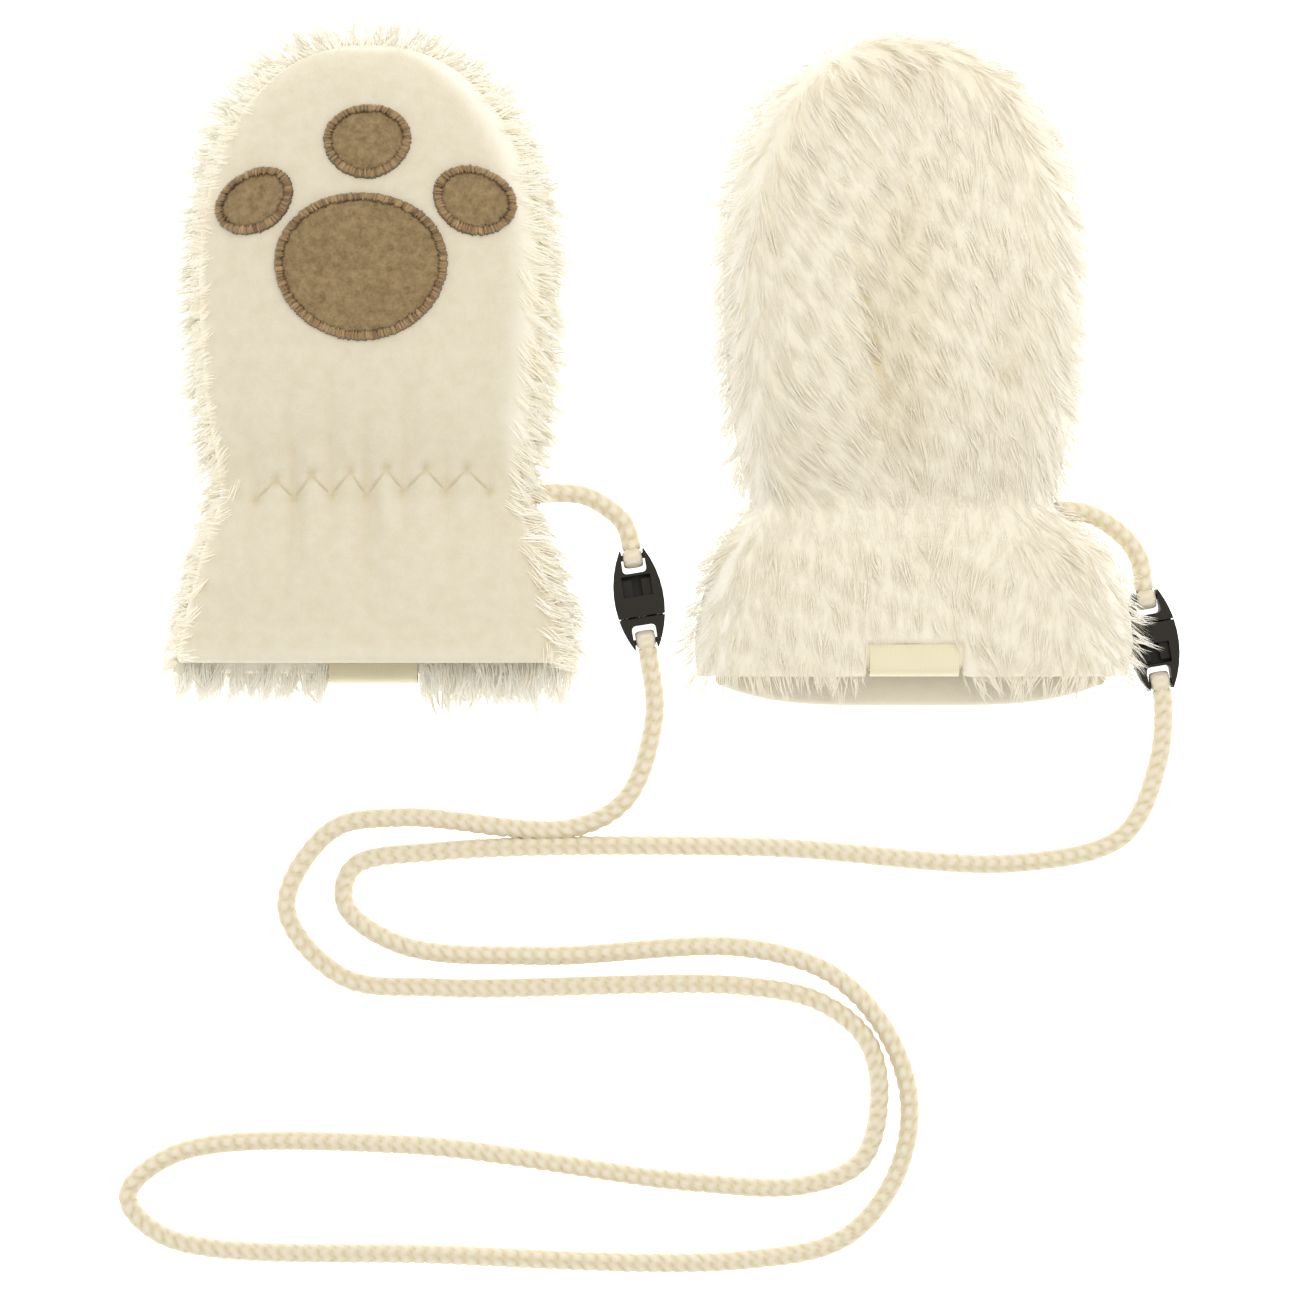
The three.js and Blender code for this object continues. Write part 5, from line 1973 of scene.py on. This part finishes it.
@dataclass
class RightMitten:
    """The mitten that shows its plush back, lying on its palm."""

    finishes: Finishes
    rng: np.random.Generator
    form: Form = RIGHT_FORM
    pad_pressed: float = 1.0
    lock_count: int = 2480

    def relief(self, x: Array, y: Array, reach: Array) -> Array:
        """The long soft crease down the middle and the lumps of the underfur."""
        crease = np.exp(-(((x - 49.4) / 4.6) ** 2))
        along = smoothstep(y, -30, -12) * smoothstep(-y, -34, -2)
        line = np.exp(-(((x - self.crease_x(y)) / 1.3) ** 2))
        depth = 1.5 * crease * along + 0.6 * line * smoothstep(y, -12, 2) * smoothstep(-y, -30, -16)
        lumps = np.sin(0.55 * x + 0.21 * y) * np.sin(0.62 * y - 0.18 * x)
        return (0.3 * lumps - depth) * (1 - np.abs(reach) ** 4)

    def crease_x(self, y: Array) -> Array:
        """Where the sharp crease beside the mitten's middle runs."""
        return 44.5 + 0.19 * (24 - y)

    def build_palm(self) -> bpy.types.Object:
        """The palm under the mitten, whose inner face shows below the plush at the cuff."""
        wall, bow = FLEECE + 0.4, 4.6
        stations = Stations(self.form.palm_hem_y, 24, 62, 5, 1.3)
        outer_y, inner_y = stations.at(PALM_TIP_Y), stations.at(PALM_TIP_Y - wall)
        at = self.form.section(outer_y, PALM_TIP_Y)
        reach = reaches(64, 0.35)
        to_hem = smoothstep(-outer_y, -self.form.palm_hem_y - 18, -self.form.palm_hem_y)
        curve = bow * to_hem * reach**4

        def face(half: Array, y: Array, roof: float) -> Array:
            """One face of the tray: the pillow section upside down, cut off flat at roof."""
            depth = self.form.seam_z + 1 - roof
            z = self.form.seam_z - depth * at.rise * pillow(reach)
            return stack(at.middle + reach * half, y + curve, np.maximum(roof, z))

        outer = face(at.palm, outer_y, 0.0)
        inner = face(at.palm - wall * at.narrow, inner_y, wall)
        # The inner face, which shows in the shade of the cuff's mouth, is painted paler: painted
        # light.
        pale = (np.zeros(outer.shape[:2]), np.full(outer.shape[:2], 0.4))
        piece = make_wall(
            "right_palm_fleece", outer, inner, stations.squeeze(), self.finishes.palm, pale
        )
        return dress(piece, "fleece", "right_palm")

    def dome(self, y: Array, tip_y: float, reach: Array, depth: float, inset: float) -> Array:
        """A surface that stands depth below the pile's tips and inset inside its outline."""
        at = self.form.section(y, tip_y)
        edge_z = 4.6
        x = at.middle + reach * (at.fur - inset * at.narrow)
        top = (at.crown - depth - edge_z) * pillow(reach)
        return stack(x, y, edge_z + at.rise * (top + self.relief(x, y, reach)))

    def skin(self) -> tuple[Array, Array, Stations]:
        """The plush's cloth: a dome over the palm's seam."""
        stations = Stations(self.form.plush_hem_y + 4.4, 24, 60, 4, 1.4)
        reach = reaches(60, 0.4)
        outer = self.dome(stations.at(PALM_TIP_Y + 0.2), PALM_TIP_Y + 0.2, reach, 3.2, 3.6)
        inner_y = stations.at(PALM_TIP_Y - FLEECE)
        at = self.form.section(inner_y, PALM_TIP_Y)
        rim = self.form.seam_z + SEAM
        ceiling = at.crown - 8.0 - rim
        inner_x = at.middle + reach * (at.palm - FLEECE * at.narrow)
        inner = stack(inner_x, inner_y, rim + ceiling * at.rise * pillow(reach))
        return outer, inner, stations

    def pelt(self) -> Array:
        """The matted surface of the pile, on which its locks lie."""
        stations = Stations(self.form.plush_hem_y + 3.2, 102, 190, 5, 1.4)
        tip_y = PALM_TIP_Y + 1.8
        return self.dome(stations.at(tip_y), tip_y, reaches(166, 0.6), 1.7, 2.5)

    def parting(self, point: Array) -> Array:
        """Where the pile is parted over the label, from 0 to 1."""
        across = np.abs(point[..., 0] - RIGHT_LABEL.x)
        half = RIGHT_LABEL.width / 2
        return (1 - smoothstep(across, half, half + 1.6)) * smoothstep(-point[..., 1], 59.6, 62.2)

    def painted_warm_shade(self, point: Array) -> Array:
        """Painted shade, warmer and darker: along the pile's middle, in the crease and low on the
        right.
        """
        x, y = point[..., 0], point[..., 1]
        hand = smoothstep(y, -26, -8)
        middle = np.exp(-(((x - 53.5 - 0.05 * y) / 7.5) ** 2)) * hand * smoothstep(-y, -52, -24)
        line = np.exp(-(((x - self.crease_x(y)) / 1.1) ** 2))
        crease = line * smoothstep(y, -12, 2) * smoothstep(-y, -30, -16)
        wedge = np.exp(-(((x - 77.0) / 2.6) ** 2 + ((y - 1.5) / 7.0) ** 2))
        return 0.3 * middle + 0.6 * crease + 0.3 * wedge

    def flow(self, point: Array) -> Array:
        """Which way the pile lies, as degrees from straight down, turned into vectors.

        Over the hand the pile sweeps down and to the right, most on the left. On the cuff it
        hangs down and swirls on the right. Low on the left it lies over the most.
        """
        x = point[:, 0] - self.form.centre_x
        y = point[:, 1]
        hand = 24 - 9 * np.tanh(x / 14) + 7 * np.sin(0.07 * y + 0.05 * x)
        low_left = 26 * smoothstep(-x, -4, 22) * smoothstep(-y, -18, 16)
        cuff = 4 + 26 * np.sin(0.19 * x + 0.12 * y) * smoothstep(x, -8, 22)
        on_cuff = smoothstep(-y, 24, 34)
        degrees = (hand + low_left) * (1 - on_cuff) + cuff * on_cuff
        angle = np.radians(degrees)
        return np.stack([np.sin(angle), -np.cos(angle), np.full_like(angle, -0.2)], axis=-1)

    def label_box(self) -> Box:
        """The parting over the label."""
        x, half = RIGHT_LABEL.x, RIGHT_LABEL.width / 2 + 0.2
        return Box((x - half, -90.0, RIGHT_LABEL.bottom_z - 6), (x + half, -61.7, 60.0))

    def over_clasp(self, lines: Array) -> Array:
        """Fibres that reach the clasp lie over it instead of through it."""
        clasp = RIGHT_CLASP
        turn = math.radians(-clasp.turn)
        dx, dy = lines[..., 0] - clasp.x, lines[..., 1] - clasp.y
        x = dx * math.cos(turn) - dy * math.sin(turn)
        y = dx * math.sin(turn) + dy * math.cos(turn)
        clear = 0.8
        inside = (np.abs(x) < clasp.half_width + clear) & (np.abs(y) < clasp.half_length + clear)
        lifted = lines.copy()
        over = np.maximum(lines[..., 2], clasp.thick + clear / 2)
        lifted[..., 2] = np.where(inside, over, lines[..., 2])
        return lifted

    def build_back(self) -> None:
        """The plush back: its cloth and its pile in four pieces."""
        outer, inner, stations = self.skin()
        # The inner face, in the shade inside the mitten, is painted paler: painted light.
        pale = (np.zeros(outer.shape[:2]), np.full(inner.shape[:2], 0.9))
        cloth = make_wall(
            "right_back_cloth", outer, inner, stations.squeeze(), self.finishes.skin, pale
        )
        dress(cloth, "plush", "right_back")
        pieces = self.build_pile()

    def build_pile(self) -> list[bpy.types.Object]:
        """The pile: a matted surface raised into locks, with loose fibres along each."""
        grid = self.pelt()
        parted = self.parting(grid)
        grid[..., 2] -= 3.0 * parted
        grid[..., 1] += (np.maximum(grid[..., 1], -66.4) - grid[..., 1]) * parted
        roots = scatter(grid, self.lock_count)
        point, normal = roots.point, roots.normal
        edge = turned_away(normal, 0.3, 1.0)
        comb = Comb(length=10.5, wide=1.0, rise=0.26, per_lock=7)
        cuff = smoothstep(-point[:, 1], 24, 36)
        scale = 1 + 0.08 * np.sin(0.3 * point[:, 0]) - 0.15 * cuff
        scale = scale * (1 + 0.35 * edge * smoothstep(-normal[:, 0], 0, 0.5))
        top = smoothstep(unit(normal * np.array([1.0, 1.0, 0.0]))[:, 1], 0.3, 0.9)
        flow = combed_out(self.flow(point), normal, edge * (1 - 0.6 * top))
        locks = comb.lay(roots, flow, scale, self.rng)
        relief = comb.relief(grid, locks, (31, 19)) * (1 - parted)
        soft = relief.copy()
        soft[1:-1, 1:-1] = 0.4 * relief[1:-1, 1:-1] + 0.15 * (
            relief[:-2, 1:-1] + relief[2:, 1:-1] + relief[1:-1, :-2] + relief[1:-1, 2:]
        )
        down, across = np.gradient(grid, axis=0), np.gradient(grid, axis=1)
        out = unit(np.cross(down, across))
        out = out * np.sign(out[len(out) // 2, grid.shape[1] // 2, 2])
        reach = reaches(grid.shape[1], 0.6)
        # Painted light: the pelt is painted paler towards its sides.
        painted_edge_light = 0.6 * smoothstep(np.abs(reach) * np.ones(soft.shape), 0.74, 1.0)
        raised = grid + soft[..., None] * out
        faces = grid_faces(*soft.shape, around=False)
        # Painted light at the sides, less the painted shade along the middle and in the crease.
        tone = painted_edge_light - self.painted_warm_shade(grid)
        # along paints the pelt's hollows between locks in the root colour and its crests in the tip
        # colour: painted shade.
        values = {"along": 0.5 + 0.4 * soft / comb.rise, "pale": tone}
        surface = make_piece(
            "right_pelt", raised.reshape(-1, 3), [faces], self.finishes.pile, values, 180
        )
        if surface.data.polygons[len(faces) // 2].normal.z < 0:
            surface.data.flip_normals()
        pieces = [dress(weld(surface), "plush", "right_back")]
        # Painted light: fibres are painted paler where the cloth turns to the side, less at the top,
        # and take the painted shade of the middle and crease.
        light = 0.6 * edge * (1 - 0.7 * top) - self.painted_warm_shade(point)
        fibres = comb.fibres(locks, edge, light, self.rng)
        lines = self.over_clasp(lay_over(fibres.lines, raised))
        fibres = Fibres(lines, fibres.normal, fibres.pale)
        fibres = fibres.where(~self.label_box().holds(fibres.lines).any(axis=1))
        order = np.argsort(fibres.lines[:, 0, 1], kind="stable")
        for index, part in enumerate(np.array_split(order, 2)):
            name = f"right_pile_{index + 1}"
            fur = make_fur(name, fibres.where(part), comb.fibre, self.finishes.pile, 0.5)
            pieces.append(dress(fur, "plush", "right_back"))
        return pieces

    def under_palm(self, x: Array, y: Array, lift: Array) -> Array:
        """Points of a pad that the floor presses into the palm: lift is the depth up from it."""
        return stack(x, y, self.pad_pressed + 0.02 - np.minimum(lift, self.pad_pressed) * 0.98)

    def build(self) -> None:
        """Builds the whole mitten."""
        palm = self.build_palm()
        self.build_back()
        for pad in PADS:
            PawPad(pad, self.form.centre_x + 1, True, self.finishes, stitch=0.6).build(
                "right", self.under_palm, 0.98, 2, self.rng
            )


@dataclass
class Studio:
    """Camera, floor and soft studio light."""

    finishes: Finishes
    camera_x: float = -0.44
    camera_y: float = -61.8
    camera_z: float = 956.4
    lens: float = 120.0

    def build(self) -> None:
        """Makes the camera straight over the mittens, a white board and a large soft light."""
        scene = bpy.context.scene
        data = bpy.data.cameras.new("camera")
        data.lens = self.lens
        data.sensor_width = 36.0
        data.clip_start = 0.01
        data.clip_end = 20.0
        camera = bpy.data.objects.new("camera", data)
        camera.location = (self.camera_x * MM, self.camera_y * MM, self.camera_z * MM)
        scene.collection.objects.link(camera)
        scene.camera = camera
        half = 2500.0
        corners = np.array([[-half, -half, 0], [half, -half, 0], [half, half, 0], [-half, half, 0]])
        floor = make_piece("floor", corners, [np.array([[0, 1, 2, 3]])], self.finishes.table)
        self.add_light("key", (150, 330, 1040), 900, 5.3)
        world = bpy.data.worlds.new("studio")
        world.use_nodes = True
        background = world.node_tree.nodes["Background"]
        background.inputs["Color"].default_value = linear("#FFFFFF")
        background.inputs["Strength"].default_value = 0.83
        scene.world = world
        scene.view_settings.view_transform = "Standard"

    def add_light(
        self, name: str, place: tuple[float, float, float], size: float, power: float
    ) -> None:
        """Adds a square area light that looks at the middle of the mittens."""
        data = bpy.data.lights.new(name, "AREA")
        data.size = size * MM
        data.energy = power
        light = bpy.data.objects.new(name, data)
        x, y, z = (v * MM for v in place)
        light.location = (x, y, z)
        aim = np.array([0.0, -0.05, 0.0]) - np.array([x, y, z])
        flat = math.hypot(aim[0], aim[1])
        light.rotation_euler = (math.atan2(flat, -aim[2]), 0.0, math.atan2(-aim[0], aim[1]))
        bpy.context.scene.collection.objects.link(light)


def main() -> None:
    """Builds the studio, the cord, both mittens and their labels."""
    logging.basicConfig(level=logging.INFO, format="%(message)s")
    rng = np.random.default_rng(7)
    finishes = Finishes()
    Studio(finishes).build()
    CordSet(finishes).build()
    LeftMitten(finishes, rng).build()
    RightMitten(finishes, rng).build()
    for label in (LEFT_LABEL, RIGHT_LABEL):
        label.build(finishes)


if __name__ == "__main__":
    main()
